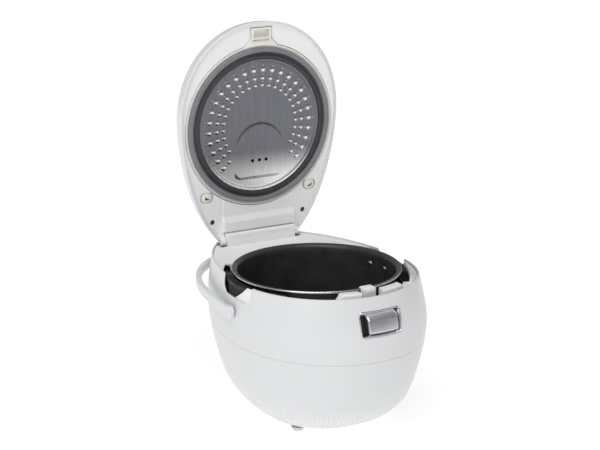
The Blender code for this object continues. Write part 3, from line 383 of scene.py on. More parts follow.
# slot, colour, roughness, grain per metre, its depth in metres, mottling, coat, unevenness of gloss
MOULDED = {
    "white_gloss": ("white_plastic", (0.765, 0.775, 0.785), 0.36, 1500.0, 0.000003, 0.004, 0.0, 0.25),
    # painted light: satin and grain are real finishes of the one white plastic, but both are set lighter
    # than the gloss white for the stronger light on the lid frame, hinge, latch, deck and guards
    "white_satin": ("white_plastic", (0.91, 0.915, 0.915), 0.45, 1600.0, 0.00001, 0.01),
    "white_grain": ("white_plastic", (0.90, 0.91, 0.91), 0.52, 900.0, 0.00004, 0.02),
    "ivory": ("ivory_plastic", (0.86, 0.84, 0.785), 0.38, 1300.0, 0.00004, 0.02),
    "black": ("black_plastic", (0.010, 0.0095, 0.011), 0.55, 1500.0, 0.00008, 0.1),
    "rubber": ("rubber", (0.075, 0.075, 0.088), 0.42, 1600.0, 0.00004, 0.08),
    "pad": ("rubber", (0.72, 0.73, 0.74), 0.60, 1600.0, 0.00008, 0.04),
    "grey": ("grey_plastic", (0.30, 0.31, 0.33), 0.42, 1400.0, 0.00006, 0.04),
    "panel": ("grey_plastic", (0.34, 0.35, 0.37), 0.30, 1000.0, 0.00003, 0.03, 0.3),
    "glass": ("display", (0.015, 0.017, 0.02), 0.08, 300.0, 0.00001, 0.05, 0.5),
}
# slot, dark and light of the streaks, roughness, stretch, depth in metres
BRUSHED = {
    "steel": ("steel", (0.42, 0.42, 0.43), (0.60, 0.60, 0.61), 0.28, (0.02, 1.0, 1.0)),
    "chrome": ("chrome", (0.78, 0.78, 0.80), (0.84, 0.84, 0.86), 0.10, (1.0, 1.0, 1.0), 0.000003),
    # the screws' own dark finish, also used as painted shade in the screw holes and clip slots
    "dark_steel": ("steel", (0.07, 0.065, 0.06), (0.13, 0.125, 0.12), 0.42, (0.02, 1.0, 1.0)),
    "satin": ("satin_metal", (0.52, 0.52, 0.55), (0.62, 0.62, 0.65), 0.30, (0.02, 1.0, 1.0)),
    "spun": ("aluminium", (0.50, 0.50, 0.51), (0.68, 0.68, 0.69), 0.34, (0.2, 0.2, 1.0), 0.00004),
    "bare_edge": ("aluminium", (0.62, 0.60, 0.58), (0.80, 0.78, 0.75), 0.25, (1.0, 1.0, 0.1)),
}
FINISHES = {
    "seal": ("rubber", seal_rubber()),
    "nonstick": ("nonstick", coated("nonstick", (0.036, 0.033, 0.036), 0.36)),
    "plate": ("steel", plate_steel()),
    "board": ("board", circuit("board")),
}
for kind, make in ((MOULDED, moulded), (BRUSHED, brushed)):
    for title, (slot_name, *look) in kind.items():
        FINISHES[title] = (slot_name, make(title, *look))


# ---- shapes ----------------------------------------------------------------------------

def smooth_step(value):
    value = min(1.0, max(0.0, value))
    return value * value * (3.0 - 2.0 * value)


def arc(centre, radius, start, end, steps):
    """Points along an arc in a plane, angles in degrees."""
    return [
        (centre[0] + radius * math.cos(math.radians(start + (end - start) * k / steps)),
         centre[1] + radius * math.sin(math.radians(start + (end - start) * k / steps)))
        for k in range(steps + 1)
    ]


def loft(rings, closed=False):
    count = len(rings[0])
    verts = [tuple(p) for ring in rings for p in ring]
    faces = []
    last = len(rings) if closed else len(rings) - 1
    for k in range(last):
        a, b = k * count, ((k + 1) % len(rings)) * count
        for i in range(count):
            j = (i + 1) % count
            faces.append((a + i, a + j, b + j, b + i))
    if not closed:
        faces.append(tuple(reversed(range(count))))
        faces.append(tuple(range((len(rings) - 1) * count, len(rings) * count)))
    return verts, faces


def joined(*shapes):
    verts, faces = [], []
    for more, sides in shapes:
        start = len(verts)
        verts += list(more)
        faces += [tuple(start + i for i in side) for side in sides]
    return verts, faces


def moved(shape, offset):
    return [tuple(p + q for p, q in zip(v, offset)) for v in shape[0]], shape[1]


def circle(radius, z, steps, centre=(0.0, 0.0)):
    step = 2 * math.pi / steps
    return [(centre[0] + radius * math.cos(i * step), centre[1] + radius * math.sin(i * step), z)
            for i in range(steps)]


def turned(profile, steps, closed=False, centre=(0.0, 0.0)):
    return loft([circle(r, z, steps, centre) for r, z in profile], closed)


def turned_along(profile, steps, axis, centre):
    """A shape turned about X or Y; profile is (radius, place along the axis)."""
    verts, faces = turned(profile, steps)
    if axis == "x":
        return [(z, centre[0] + x, centre[1] + y) for x, y, z in verts], faces
    return [(centre[0] + x, z, centre[1] + y) for x, y, z in verts], faces


def rounded_rect(wide, tall, radius, corner_steps=8):
    points = []
    for sx, sy, start in ((1, 1, 0), (-1, 1, 90), (-1, -1, 180), (1, -1, 270)):
        corner = (sx * (wide / 2 - radius), sy * (tall / 2 - radius))
        points += arc(corner, radius, start, start + 90, corner_steps)
    return points


PLACE = {
    "z": lambda p, d: (p[0], p[1], d),
    "y": lambda p, d: (p[0], d, p[1]),
    "x": lambda p, d: (d, p[0], p[1]),
}


def prism(outline, low, high, axis="z"):
    return loft([[PLACE[axis](p, low) for p in outline], [PLACE[axis](p, high) for p in outline]])


def block(low, high):
    outline = ((low[0], low[1]), (high[0], low[1]), (high[0], high[1]), (low[0], high[1]))
    return prism(outline, low[2], high[2])


def roll(edge, steps=4):
    """(depth from the end, inset) pairs round a quarter circle, from the end face to the side."""
    return [(edge * (1 - math.sin(a)), edge * (1 - math.cos(a)))
            for a in (math.radians(90 * (steps - k) / steps) for k in range(steps + 1))]


def pad(wide, tall, corner, low, high, edge, axis="z", centre=(0.0, 0.0), low_edge=None):
    """A rounded rectangle drawn out along an axis, with rolled edges at both ends."""
    low_edge = edge if low_edge is None else low_edge
    rows = [(low + depth, inset) for depth, inset in roll(low_edge)]
    rows += [(high - depth, inset) for depth, inset in reversed(roll(edge))]
    rings = []
    for place, inset in rows:
        outline = rounded_rect(wide - 2 * inset, tall - 2 * inset, max(corner - inset, 0.05))
        rings.append([PLACE[axis]((x + centre[0], y + centre[1]), place) for x, y in outline])
    return loft(rings)


def offset_outline(outline, amount):
    """The outline drawn in by amount, along the mean normal at each of its points."""
    count = len(outline)
    area = sum(outline[i][0] * outline[(i + 1) % count][1] - outline[(i + 1) % count][0] * outline[i][1]
               for i in range(count))
    side = 1.0 if area > 0 else -1.0
    moved_points = []
    for i in range(count):
        before, here, after = (Vector(outline[(i + k) % count]) for k in (-1, 0, 1))
        first = (here - before).normalized()
        second = (after - here).normalized()
        inward = Vector((-first.y - second.y, first.x + second.x)).normalized() * side
        reach = amount / max(0.35, inward.dot(Vector((-first.y, first.x)) * side))
        moved_points.append(tuple(here + inward * reach))
    return moved_points


def slab(outline, low, high, edge, axis="z", low_edge=None):
    """Any outline drawn out along an axis, with rolled edges."""
    low_edge = edge if low_edge is None else low_edge
    rows = [(low + depth, inset) for depth, inset in roll(low_edge)]
    rows += [(high - depth, inset) for depth, inset in reversed(roll(edge))]
    return loft([[PLACE[axis](p, place) for p in offset_outline(outline, inset)] for place, inset in rows])


def sector(profile, start, end, steps):
    """A closed (radius, z) section swept about Z between two angles in degrees."""
    rings = []
    for k in range(steps + 1):
        angle = math.radians(start + (end - start) * k / steps)
        rings.append([(r * math.cos(angle), r * math.sin(angle), z) for r, z in profile])
    return loft(rings)


# ---- pieces ----------------------------------------------------------------------------

def clean(mesh, sharp):
    work = bmesh.new()
    work.from_mesh(mesh)
    bmesh.ops.remove_doubles(work, verts=work.verts, dist=2e-6)
    bmesh.ops.recalc_face_normals(work, faces=work.faces)
    work.to_mesh(mesh)
    work.free()
    mesh.shade_smooth()
    mesh.set_sharp_from_angle(angle=math.radians(sharp))


def raw_object(name, shape, lid):
    verts, faces = shape
    mesh = bpy.data.meshes.new(name)
    turn = LID_TURN if lid else Matrix.Identity(4)
    mesh.from_pydata([tuple(turn @ at(v)) for v in verts], [], faces)
    item = bpy.data.objects.new(name, mesh)
    bpy.context.scene.collection.objects.link(item)
    return item


def piece(name, shape, finish, body, nodes=(), lid=False, sharp=32.0):
    """A visible piece that rides on a body, with its finish; shape is in mm."""
    item = raw_object(name, shape, lid)
    clean(item.data, sharp)
    slot, material = FINISHES[finish]
    item.data.materials.append(material)
    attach(item, body)
    if nodes:
        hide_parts(*nodes)
    return item


def lid_piece(name, shape, finish, nodes=(), body="lid", sharp=40):
    """A piece drawn with the lid shut, and swung open with it."""
    return piece(name, shape, finish, body, nodes, True, sharp)


def settle(item):
    """Makes what the modifiers show the piece's own mesh."""
    bpy.context.view_layer.update()
    graph = bpy.context.evaluated_depsgraph_get()
    result = bpy.data.meshes.new_from_object(item.evaluated_get(graph))
    item.modifiers.clear()
    item.data = result


def use_up(item, tools, operation):
    """Applies the tool objects to the item one after the other, and removes them."""
    for tool in tools:
        step = item.modifiers.new(tool.name, "BOOLEAN")
        step.operation = operation
        step.solver = "EXACT"
        step.object = tool
    settle(item)
    for tool in tools:
        bpy.data.objects.remove(tool, do_unlink=True)


def carve(item, shapes, lid=False, operation="DIFFERENCE", sharp=32.0):
    """Cuts, adds or keeps the shapes' space, one after the other."""
    tools = []
    for number, shape in enumerate(shapes):
        tools.append(raw_object("tool_%d" % number, shape, lid))
        clean(tools[-1].data, sharp)
    use_up(item, tools, operation)
    clean(item.data, sharp)
    return item


def lid_carve(item, shapes, operation="DIFFERENCE", sharp=40):
    return carve(item, shapes, True, operation, sharp)


def soften(item, width, angle):
    """Rounds the edges of the piece that are sharper than the angle."""
    step = item.modifiers.new("edges", "BEVEL")
    step.width = width * MM
    step.segments = 3
    step.limit_method = "ANGLE"
    step.angle_limit = math.radians(angle)
    settle(item)
    item.data.shade_smooth()
    item.data.set_sharp_from_angle(angle=math.radians(50))
    return item


def even(item):
    """Shades by face area, so that flats stay flat beside rounded edges."""
    step = item.modifiers.new("even", "WEIGHTED_NORMAL")
    step.keep_sharp = True
    settle(item)
    return item


# ---- body ------------------------------------------------------------------------------

def station(z):
    """Half width, front and rear reach of the body at a height."""
    heights = BODY_STATIONS[:, 0]
    row = int(np.clip(np.searchsorted(heights, z) - 1, 0, len(heights) - 2))
    span = heights[row + 1] - heights[row]
    t = (z - heights[row]) / span
    low, high = BODY_STATIONS[row, 1:], BODY_STATIONS[row + 1, 1:]
    return (
        (2 * t**3 - 3 * t**2 + 1) * low
        + (t**3 - 2 * t**2 + t) * span * STATION_SLOPES[row]
        + (3 * t**2 - 2 * t**3) * high
        + (t**3 - t**2) * span * STATION_SLOPES[row + 1]
    )


def egg_point(half, front, rear, turn):
    """Plan outline: a squared-off front and a rear that narrows."""
    c, s = math.cos(turn), math.sin(turn)
    if s < 0:
        power = 2 / FRONT_POWER
        return half * math.copysign(abs(c) ** power, c), WIDEST_Y - (front + WIDEST_Y) * abs(s) ** power
    return half * c * (1 - TAPER * s * s * (1 - s) / (s + 0.08)), WIDEST_Y + (rear - WIDEST_Y) * s


def body_point(turn, z, inset=0.0):
    half, front, rear = station(z)
    x, y = egg_point(half - inset, front - inset, rear - inset, turn)
    return x, y, z


def turns(steps):
    return [2 * math.pi * i / steps for i in range(steps)]


def body_ring(z, inset, steps=BODY_STEPS):
    return [body_point(t, z, inset) for t in turns(steps)]


def turn_at(y, z, side):
    """Turn round the outline at which the flank on one side passes a y."""
    _, front, rear = station(z)
    if y < WIDEST_Y:
        part = math.asin(((WIDEST_Y - y) / (front + WIDEST_Y)) ** (FRONT_POWER / 2))
        return -part if side > 0 else math.pi + part
    part = math.asin((y - WIDEST_Y) / (rear - WIDEST_Y))
    return part if side > 0 else math.pi - part


def front_y(x, z):
    """Where the front of the body is at a distance from its middle."""
    half, front, _ = station(z)
    part = max(0.0, 1 - (abs(x) / half) ** FRONT_POWER)
    return -((front + WIDEST_Y) * part ** (1 / FRONT_POWER) - WIDEST_Y)


def rib_phase():
    """Distance round the base band at each turn, in ribs."""
    spots = [Vector(p[:2]) for p in body_ring(13.0, 0.0, RIB_STEPS)]
    lengths = [(spots[(i + 1) % RIB_STEPS] - spots[i]).length for i in range(RIB_STEPS)]
    total = sum(lengths)
    phase, run = [], 0.0
    for length in lengths:
        phase.append(run / total * RIB_COUNT)
        run += length
    return phase


def ribbed_ring(z, phase, depth, low=0.0):
    """One level of the body's outside with upright grooves, all of it drawn in by low."""
    return [body_point(turn, z, low + depth * (1 - abs(math.sin(math.pi * p)) ** GROOVE_POWER))
            for turn, p in zip(turns(RIB_STEPS), phase)]


def base_band():
    """Ribbed band at the foot of the body, with the tray's floor."""
    phase = rib_phase()
    rings = []
    top = BAND_TOP - RIB_GAP / 2
    for rise, low in ((0.0, 3.2), (0.25, 1.9), (0.9, 0.9), (1.8, 0.3)):
        rings.append(ribbed_ring(BAND_BOTTOM + rise, phase, RIB_DEPTH * 0.6, low))
    for z in (8.8, 11.0, 13.2, 15.4, 17.4):
        rings.append(ribbed_ring(z, phase, RIB_DEPTH))
    for z in (18.8, top - 0.1):
        rings.append(ribbed_ring(z, phase, RIB_DEPTH, 0.05))
    rings.append(ribbed_ring(top, phase, RIB_DEPTH * 0.6, 0.6))
    for z, inset in ((top, 0.6), (13.0, 0.8), (BAND_BOTTOM + 3.0, 1.4)):
        rings.append(body_ring(z, BODY_WALL + inset, RIB_STEPS))
    item = piece("base_band", loft(rings), "white_gloss", "housing", ("base_cover",), sharp=45)
    slots = []
    outline = rounded_rect(34.0, 3.0, 1.4, 4)
    for row in range(-4, 5):
        for x in (-22.0, 22.0):
            spots = [(px + x, py + row * 7.0 + 14.0) for px, py in outline]
            slots.append(prism(spots, BAND_BOTTOM - 2.0, BAND_BOTTOM + 1.6))
    return carve(item, [joined(*slots)], sharp=45)


def seam_rows(z, direction):
    """Rolled edge of a shell at a seam: (z, inset) from outside to inside."""
    rows = [(z + direction * depth, inset) for depth, inset in reversed(roll(SEAM_ROUND))]
    return rows + [(z, BODY_WALL - 0.5), (z + direction * 0.5, BODY_WALL)]


def lower_shell():
    """Lower half of the body; the band's grooves run on up it and fade out."""
    low, high = BAND_TOP + RIB_GAP / 2, SEAM_Z - SEAM_GAP / 2
    phase = rib_phase()
    rings = [ribbed_ring(low, phase, RIB_DEPTH * 0.6, 0.6), ribbed_ring(low + 0.1, phase, RIB_DEPTH, 0.05)]
    for z in (21.5, 24.0, 27.5, 31.0, 34.5, 37.5, 40.0, 41.5, 43.0, 44.5, RIB_TOP):
        rings.append(ribbed_ring(z, phase, RIB_DEPTH * smooth_step((RIB_TOP - z) / RIB_FADE)))
    rows = [(z, 0.0) for z in np.linspace(RIB_TOP + 2.5, high - 1.2, 22)]
    rows += seam_rows(high, -1.0)
    rows += [(z, BODY_WALL) for z in np.linspace(high - 2.0, low + 2.0, 12)]
    rings += [body_ring(z, inset, RIB_STEPS) for z, inset in rows]
    item = piece("lower_body", loft(rings, True), "white_gloss", "housing", ("lower_shell",), sharp=45)
    outline = [(x, z + 46.0) for x, z in rounded_rect(30.4, 22.4, 3.0)]
    return carve(item, [prism(outline, 140.0, 210.0, "y")], sharp=45)


def notch_side(depth, side):
    """(turn, z) along one notch from its front to its rear, drawn into the wall by depth."""
    top, low, high = NOTCH_TOP_ROUND, NOTCH_FRONT_ROUND, NOTCH_REAR_ROUND
    front, rear = NOTCH_ENDS[side]
    points = arc((front - top, CREST_Z - top), top - depth, 90, 0, 6)
    points += [(front - depth, z) for z in np.linspace(CREST_Z - top - 2.0, NOTCH_Z + low + 2.0, 8)]
    points += arc((front + low, NOTCH_Z + low), low + depth, 180, 270, 8)
    points += [(y, NOTCH_Z - depth) for y in np.linspace(front + low + 3.0, rear - high - 3.0, 18)]
    points += arc((rear - high, NOTCH_Z + high), high + depth, 270, 360, 12)
    points += [(rear + depth, z) for z in np.linspace(NOTCH_Z + high + 1.2, CREST_Z - top - 1.2, 3)]
    points += arc((rear + top, CREST_Z - top), top - depth, 180, 90, 6)
    if side < 0:
        points.reverse()
    return [(turn_at(y, z, side), z) for y, z in points]


def crest_line(depth):
    """(turn, z) round the whole top edge of the upper shell, notches included."""
    z = CREST_Z - depth
    right, left = notch_side(depth, 1), notch_side(depth, -1)
    line = list(right)
    rear = np.linspace(right[-1][0], left[0][0], 72)[1:-1]
    line += [(t, z) for t in rear]
    line += left
    front = np.linspace(left[-1][0], right[0][0] + 2 * math.pi, 62)[1:-1]
    line += [(t, z) for t in front]
    return line


def settled_turns(line, reach=16):
    """The line's turns evened out, for the bottom of the shell."""
    count = len(line)
    full = [t for t, _ in line]
    ahead = [t + 2 * math.pi for t in full]
    behind = [t - 2 * math.pi for t in full]
    run = np.array(behind + full + ahead)
    kernel = np.ones(2 * reach + 1) / (2 * reach + 1)
    for _ in range(3):
        run = np.convolve(run, kernel, mode="same")
    return list(run[count:2 * count])


def curtain(depth, inset, rows, bottom):
    """Rings from the top edge down to the bottom, all on the surface at one inset."""
    line = crest_line(depth)
    ends = settled_turns(line)
    rings = []
    for k in range(rows + 1):
        part = k / rows
        blend = smooth_step(part * 1.4)
        ring = []
        for (turn, z), end in zip(line, ends):
            height = z + (bottom - z) * part
            ring.append(body_point(turn + (end - turn) * blend, height, inset))
        rings.append(ring)
    return rings


def edge_ring(depth, inset):
    return [body_point(turn, z, inset) for turn, z in crest_line(depth)]


def upper_shell():
    """Upper shell with its rolled crest carried down round the two notches."""
    outer_round, inner_round = 1.5, 0.9
    low = SEAM_Z + SEAM_GAP / 2
    ends = settled_turns(crest_line(3.2))
    outside = list(reversed(curtain(3.2, 0.0, 26, low + 1.3)))
    lip = [edge_ring(2.4, 0.0)]
    lip += [edge_ring(depth, inset) for depth, inset in reversed(roll(outer_round, 5))]
    lip += [edge_ring(depth, BODY_WALL - inset) for depth, inset in roll(inner_round, 4)]
    inside = curtain(3.2, BODY_WALL, 14, low + 1.0)
    foot = [[body_point(t, z, inset) for t in ends] for z, inset in reversed(seam_rows(low, 1.0))]
    item = piece("upper_body", loft(outside + lip + inside + foot, True), "white_gloss", "housing",
                 ("upper_shell",), sharp=45)
    outline = rounded_rect(BUTTON_WIDE + 2 * GAP, BUTTON_TALL + 2 * GAP, BUTTON_CORNER + GAP)
    outline = [(x + BUTTON_X, z + BUTTON_Z) for x, z in outline]
    bore = turned_along(((4.0, -150.0), (4.0, 150.0)), 32, "x", (PIVOT_Y, PIVOT_Z))
    return carve(item, [prism(outline, -180.0, -130.0, "y"), bore], sharp=45)


def deck_slope(y):
    """0 on the deck's low front, 1 on its high rear."""
    return smooth_step((y + DECK_SLOPE_HALF) / (2 * DECK_SLOPE_HALF))


def deck_z(y):
    return DECK_FRONT_Z + (DECK_REAR_Z - DECK_FRONT_Z) * deck_slope(y)


def deck():
    """Sloping deck round the pot with its skirts."""
    steps = 360
    edge = 2.2

    def rim(z, inset, lift=0.0):
        ring = body_ring(z, BODY_WALL + GAP + inset, steps)
        return [(x, y, (deck_z(y) + lift) if z > 181 else z) for x, y, _ in ring]

    outer = body_ring(CREST_Z, BODY_WALL + GAP, steps)
    angles = [math.atan2(y, x) for x, y, _ in outer]

    def hole(radius, lift=None, z=0.0):
        return [(radius * math.cos(a), radius * math.sin(a), z if lift is None else deck_z(p[1]) + lift)
                for a, p in zip(angles, outer)]

    def between(part, lift):
        ring = []
        for a, p in zip(angles, outer):
            reach = math.hypot(p[0], p[1])
            radius = reach + (DECK_HOLE + edge - reach) * part
            rise = DECK_COVE * (1.0 - deck_slope(p[1]))
            cove = rise * max(0.0, 1.0 - (reach - radius) / 9.0) ** 2.2
            ring.append((radius * math.cos(a), radius * math.sin(a), deck_z(p[1]) + lift * part + cove))
        return ring

    rings = [rim(DECK_BOTTOM, 0.0), rim(180.0, 0.0)]
    for part in (0.0, 0.02, 0.04, 0.07, 0.1, 0.14, 0.19, 0.25, 0.35, 0.5, 0.75, 1.0):
        rings.append(between(part, -0.8))
    for angle in (22.5, 45.0, 67.5, 90.0):
        a = math.radians(angle)
        rings.append(hole(DECK_HOLE + edge - edge * math.sin(a), -0.8 - edge * (1 - math.cos(a))))
    rings += [hole(DECK_HOLE, z=182.0), hole(DECK_HOLE, z=DECK_BOTTOM), hole(DECK_HOLE + 1.4, z=DECK_BOTTOM)]
    rings += [hole(DECK_HOLE + DECK_WALL, -DECK_WALL - 1.4), rim(CREST_Z, DECK_WALL, -DECK_WALL)]
    rings += [rim(180.0, 1.6), rim(DECK_BOTTOM, 1.6)]
    item = piece("deck", loft(rings, True), "white_grain", "housing", ("top_collar",), sharp=45)
    cuts = []
    for side in (-1, 1):
        start = 180 if side < 0 else 0
        section = ((108.0, 175.5), (GRIP_CLEAR, 175.5), (GRIP_CLEAR, 230.0), (108.0, 230.0))
        cuts.append(sector(section, start - 41.0, start + 41.0, 48))
    cuts.append(block((-63.4, 149.4, 189.0), (63.4, BLOCK_REAR + 0.6, 240.0)))
    cuts.append(block((-14.2, -152.0, 181.0), (14.2, -118.0, 230.0)))
    half = BUTTON_WIDE / 2 + 1.0
    cuts.append(block((BUTTON_X - half, -170.0, 150.0), (BUTTON_X + half, -144.8, 185.5)))
    return carve(item, cuts, sharp=45)


def guard_section(x, grow):
    """Section of a guard across its length, with rolled upper edges."""
    slope = smooth_step((abs(x) - GUARD_OUTER[1 if x > 0 else -1] + 6.0) / 6.0)
    top = GUARD_TOP - 5.5 * slope - grow
    front = front_y(x, CREST_Z) + GUARD_SETBACK + grow
    back = front_y(x, CREST_Z) + GUARD_SETBACK + 12.0 - 3.0 * slope - grow
    low = DECK_FRONT_Z - 1.2
    section = [(front, low), (back, low)]
    section += arc((back - 1.8, top - 1.8), 1.8, 0, 90, 5)
    section += arc((front + 1.8, top - 1.8), 1.8, 90, 180, 5)
    return [(x, y, z) for y, z in section]


def guards():
    """Raised blocks on each side of the latch."""
    shapes = []
    for side in (-1, 1):
        rows = [(GUARD_INNER + d, i) for d, i in roll(1.2)]
        rows += [(x, 0.0) for x in np.linspace(GUARD_INNER + 1.6, GUARD_OUTER[side], 30)]
        shapes.append(loft([guard_section(side * x, grow) for x, grow in rows]))
    return piece("guards", joined(*shapes), "white_grain", "housing", sharp=40)


def feet():
    names = ("front_left", "front_right", "rear_left", "rear_right")
    profile = [(0.5, 0.0), (5.2, 0.0), (5.8, 0.3), (6.6, 0.7), (7.0, 1.4), (7.4, 2.2), (8.6, 4.4),
               (9.0, BAND_BOTTOM - GAP)]
    for name, spot in zip(names, FOOT_SPOTS):
        piece("foot_%s_piece" % name, turned(profile, 48, centre=spot), "pad", "housing", ("foot_" + name,))


def hinge_block():
    """Fixed half of the hinge, with the gap round the lid's ears at each end."""
    outline = [(BLOCK_FRONT, 180.0), (BLOCK_REAR, 180.0), (BLOCK_REAR, 204.0)]
    outline += arc((163.0, 204.0), 7.0, 20, 70, 5)
    outline += [(163.5, BLOCK_TOP), (BLOCK_FRONT + 3.0, BLOCK_TOP)]
    outline += arc((BLOCK_FRONT + 3.0, BLOCK_TOP - 3.0), 3.0, 110, 180, 6)
    item = piece("hinge_housing", slab(outline, -BLOCK_HALF, BLOCK_HALF, 0.9, "x"), "white_satin", "housing",
                 ("hinge_block",), sharp=30)
    bore = turned_along(((PIN_BORE, -80.0), (PIN_BORE, 80.0)), 48, "x", (HINGE_Y, HINGE_Z))
    carve(item, [block((-42.0, 153.0, 170.0), (42.0, 166.6, 210.5)), bore], sharp=30)
    even(item)
    tip = [(0.3, -EAR_OUTER - 0.2), (PIN_RADIUS - 0.5, -EAR_OUTER - 0.2), (PIN_RADIUS, -EAR_OUTER + 0.3),
           (PIN_RADIUS, EAR_OUTER - 0.3), (PIN_RADIUS - 0.5, EAR_OUTER + 0.2), (0.3, EAR_OUTER + 0.2)]
    piece("hinge_rod", turned_along(tip, 48, "x", (HINGE_Y, HINGE_Z)), "steel", "housing", ("hinge_pin",))


def front_ring(size, inset, depth, steps=10):
    """Rounded rectangle on the curved front, drawn in by inset; depth may be a function of (x, z)."""
    centre, wide, tall, corner = size
    outline = rounded_rect(wide - 2 * inset, tall - 2 * inset, max(0.3, corner - inset), steps)
    dense = []
    for k, here in enumerate(outline):
        after = outline[(k + 1) % len(outline)]
        parts = 12 if (k + 1) % (steps + 1) == 0 else 1
        for part in range(parts):
            dense.append((here[0] + (after[0] - here[0]) * part / parts,
                          here[1] + (after[1] - here[1]) * part / parts))
    ring = []
    for x, z in dense:
        x, z = x + centre, z + BUTTON_Z
        back = depth(x, z) if callable(depth) else depth
        ring.append((x, front_y(x, z) + back, z))
    return ring


def front_cap(size, start, depth):
    """Rings that close a shape on the front, from inset start to the middle."""
    reach = min(size[1], size[2]) / 2 - 0.3
    return [front_ring(size, start + (reach - start) * k / 14, depth) for k in range(1, 15)]


def tray_ring(inset, depth, drop=0.0):
    """A ring of the tray; drop lowers its top edge over the finger hollow at the left."""
    ring = []
    for x, y, z in front_ring((BUTTON_X, BUTTON_WIDE, BUTTON_TALL, BUTTON_CORNER), inset, depth):
        hollow = smooth_step((PUSH_X - PUSH_WIDE / 2 + 3.0 - x) / 5.0) * smooth_step((z - BUTTON_Z) / 6.0)
        ring.append((x, y, z - drop * hollow))
    return ring


def push_depth(x, z):
    """How far the push piece's face is behind the skin: flat, with a scooped upper lip."""
    part = min(1.0, max(0.0, (z - BUTTON_Z - 4.2) / 7.6))
    return 0.7 + 4.6 * math.sin(part * math.pi / 2) ** 1.5 + 0.35 * ((x - PUSH_X) / PUSH_WIDE * 2) ** 2


def button_parts():
    """Chromed tray with a finger hollow at its left, its dark well, and the push piece."""
    rows = ((0.0, 9.0, 0.0), (0.0, 0.3, 0.0), (0.15, -0.05, 0.0), (0.5, -0.28, 0.0), (0.9, -0.28, 0.0),
            (1.3, 0.0, 0.0), (1.55, 0.6, 0.4), (1.9, 1.6, 1.3), (2.4, 3.2, 2.8), (2.9, 4.9, 4.3),
            (3.15, 6.4, 5.2), (3.2, 9.0, 5.4), (2.2, 9.5, 4.0))
    rings = [tray_ring(*row) for row in rows]
    piece("bezel_frame", loft(rings, True), "chrome", "housing", ("button_bezel",), sharp=50)
    size = (BUTTON_X, BUTTON_WIDE, BUTTON_TALL, BUTTON_CORNER)
    well = list(reversed(front_cap(size, 1.2, 11.6)))
    for inset, depth in ((1.2, 11.6), (1.2, 9.6), (2.2, 9.2), (3.6, 10.4)):
        well.append(front_ring(size, inset, depth))
    well += front_cap(size, 3.6, 10.4)
    item = piece("button_well", loft(well), "black", "housing", sharp=45)
    carve(item, [turned_along(((5.0, -170.0), (5.0, -130.0)), 32, "y", (0.0, BUTTON_Z))], sharp=45)
    push = (PUSH_X, PUSH_WIDE, PUSH_TALL, PUSH_CORNER)
    rings = [front_ring(push, inset, lambda x, z, d=d: max(push_depth(x, z) + d, d + 0.7))
             for inset, d in ((1.0, 8.4), (0.0, 7.8))]
    for inset, extra in ((0.0, 3.2), (0.12, 2.3), (0.5, 1.3), (1.1, 0.6), (1.9, 0.16), (2.8, 0.0)):
        rings.append(front_ring(push, inset, lambda x, z, d=extra: push_depth(x, z) + d))
    rings += front_cap(push, 2.8, push_depth)
    item = piece("push_piece", loft(rings), "satin", "button", ("open_button",), sharp=45)
    stem = turned_along(((4.0, -153.0), (4.0, -132.4), (3.5, -131.9)), 32, "y", (0.0, BUTTON_Z))
    return carve(item, [stem], operation="UNION", sharp=45)


def latch():
    """Latch hook: a block with rounded shoulders and a smaller raised panel in front."""
    y, z = HOOK_Y, HOOK_Z
    outline = [
        (y - 2.4, BUTTON_Z - 5.0), (y + 2.4, BUTTON_Z - 5.0), (y + 4.5, z - 4.0), (y + 4.5, NOSE_Z),
        (y + 8.7, NOSE_Z + 0.2), (y + 8.7, NOSE_Z + 1.0), (y + 7.0, NOSE_Z + 2.4), (y - 1.8, NOSE_Z + 2.4),
        (y - 3.3, NOSE_Z + 0.8), (y - 3.3, z - 6.0), (y - 2.4, z - 12.0),
    ]
    item = piece("latch_piece", prism(outline, -HOOK_HALF, HOOK_HALF, "x"), "white_satin", "latch",
                 ("latch_hook",))
    shoulder = [(-HOOK_HALF, 150.0), (HOOK_HALF, 150.0)]
    shoulder += arc((HOOK_HALF - 3.0, NOSE_Z - 0.6), 3.0, 0, 90, 8)
    shoulder += arc((-HOOK_HALF + 3.0, NOSE_Z - 0.6), 3.0, 90, 180, 8)
    carve(item, [prism(shoulder, -170.0, -100.0, "y")], operation="INTERSECT")
    bore = turned_along(((2.4, -40.0), (2.4, 40.0)), 24, "x", (y, z))
    carve(item, [bore])
    soften(item, 0.6, 35.0)
    panel = [(-6.2, z + 2.0), (6.2, z + 2.0)]
    panel += arc((4.2, NOSE_Z - 3.0), 2.0, 0, 90, 6)
    panel += arc((-4.2, NOSE_Z - 3.0), 2.0, 90, 180, 6)
    piece("latch_face", slab(panel, y - 3.9, y - 2.9, 0.5, "y"), "white_satin", "latch")
    return item


def bail_path(count):
    straight = [(BAIL_HALF, PIVOT_Y + (BAIL_BEND_Y - PIVOT_Y) * k / 16.0) for k in range(16)]
    curve = []
    for k in range(count + 1):
        turn = math.pi * k / count
        c, s = math.cos(turn), math.sin(turn)
        power = 2 / BAIL_POWER
        curve.append((BAIL_HALF * math.copysign(abs(c) ** power, c),
                      BAIL_BEND_Y + (BAIL_REAR - BAIL_BEND_Y) * abs(s) ** power))
    return straight + curve + [(-x, y) for x, y in reversed(straight)]


def bail_section(tall):
    """Rounded band section: crowned outside, flatter inside."""
    thin = BAIL_THICK / 2
    points = []
    for k in range(28):
        angle = 2 * math.pi * k / 28
        c, s = math.cos(angle), math.sin(angle)
        points.append((thin * math.copysign(abs(c) ** 0.62, c), tall * math.copysign(abs(s) ** 0.42, s)))
    return points


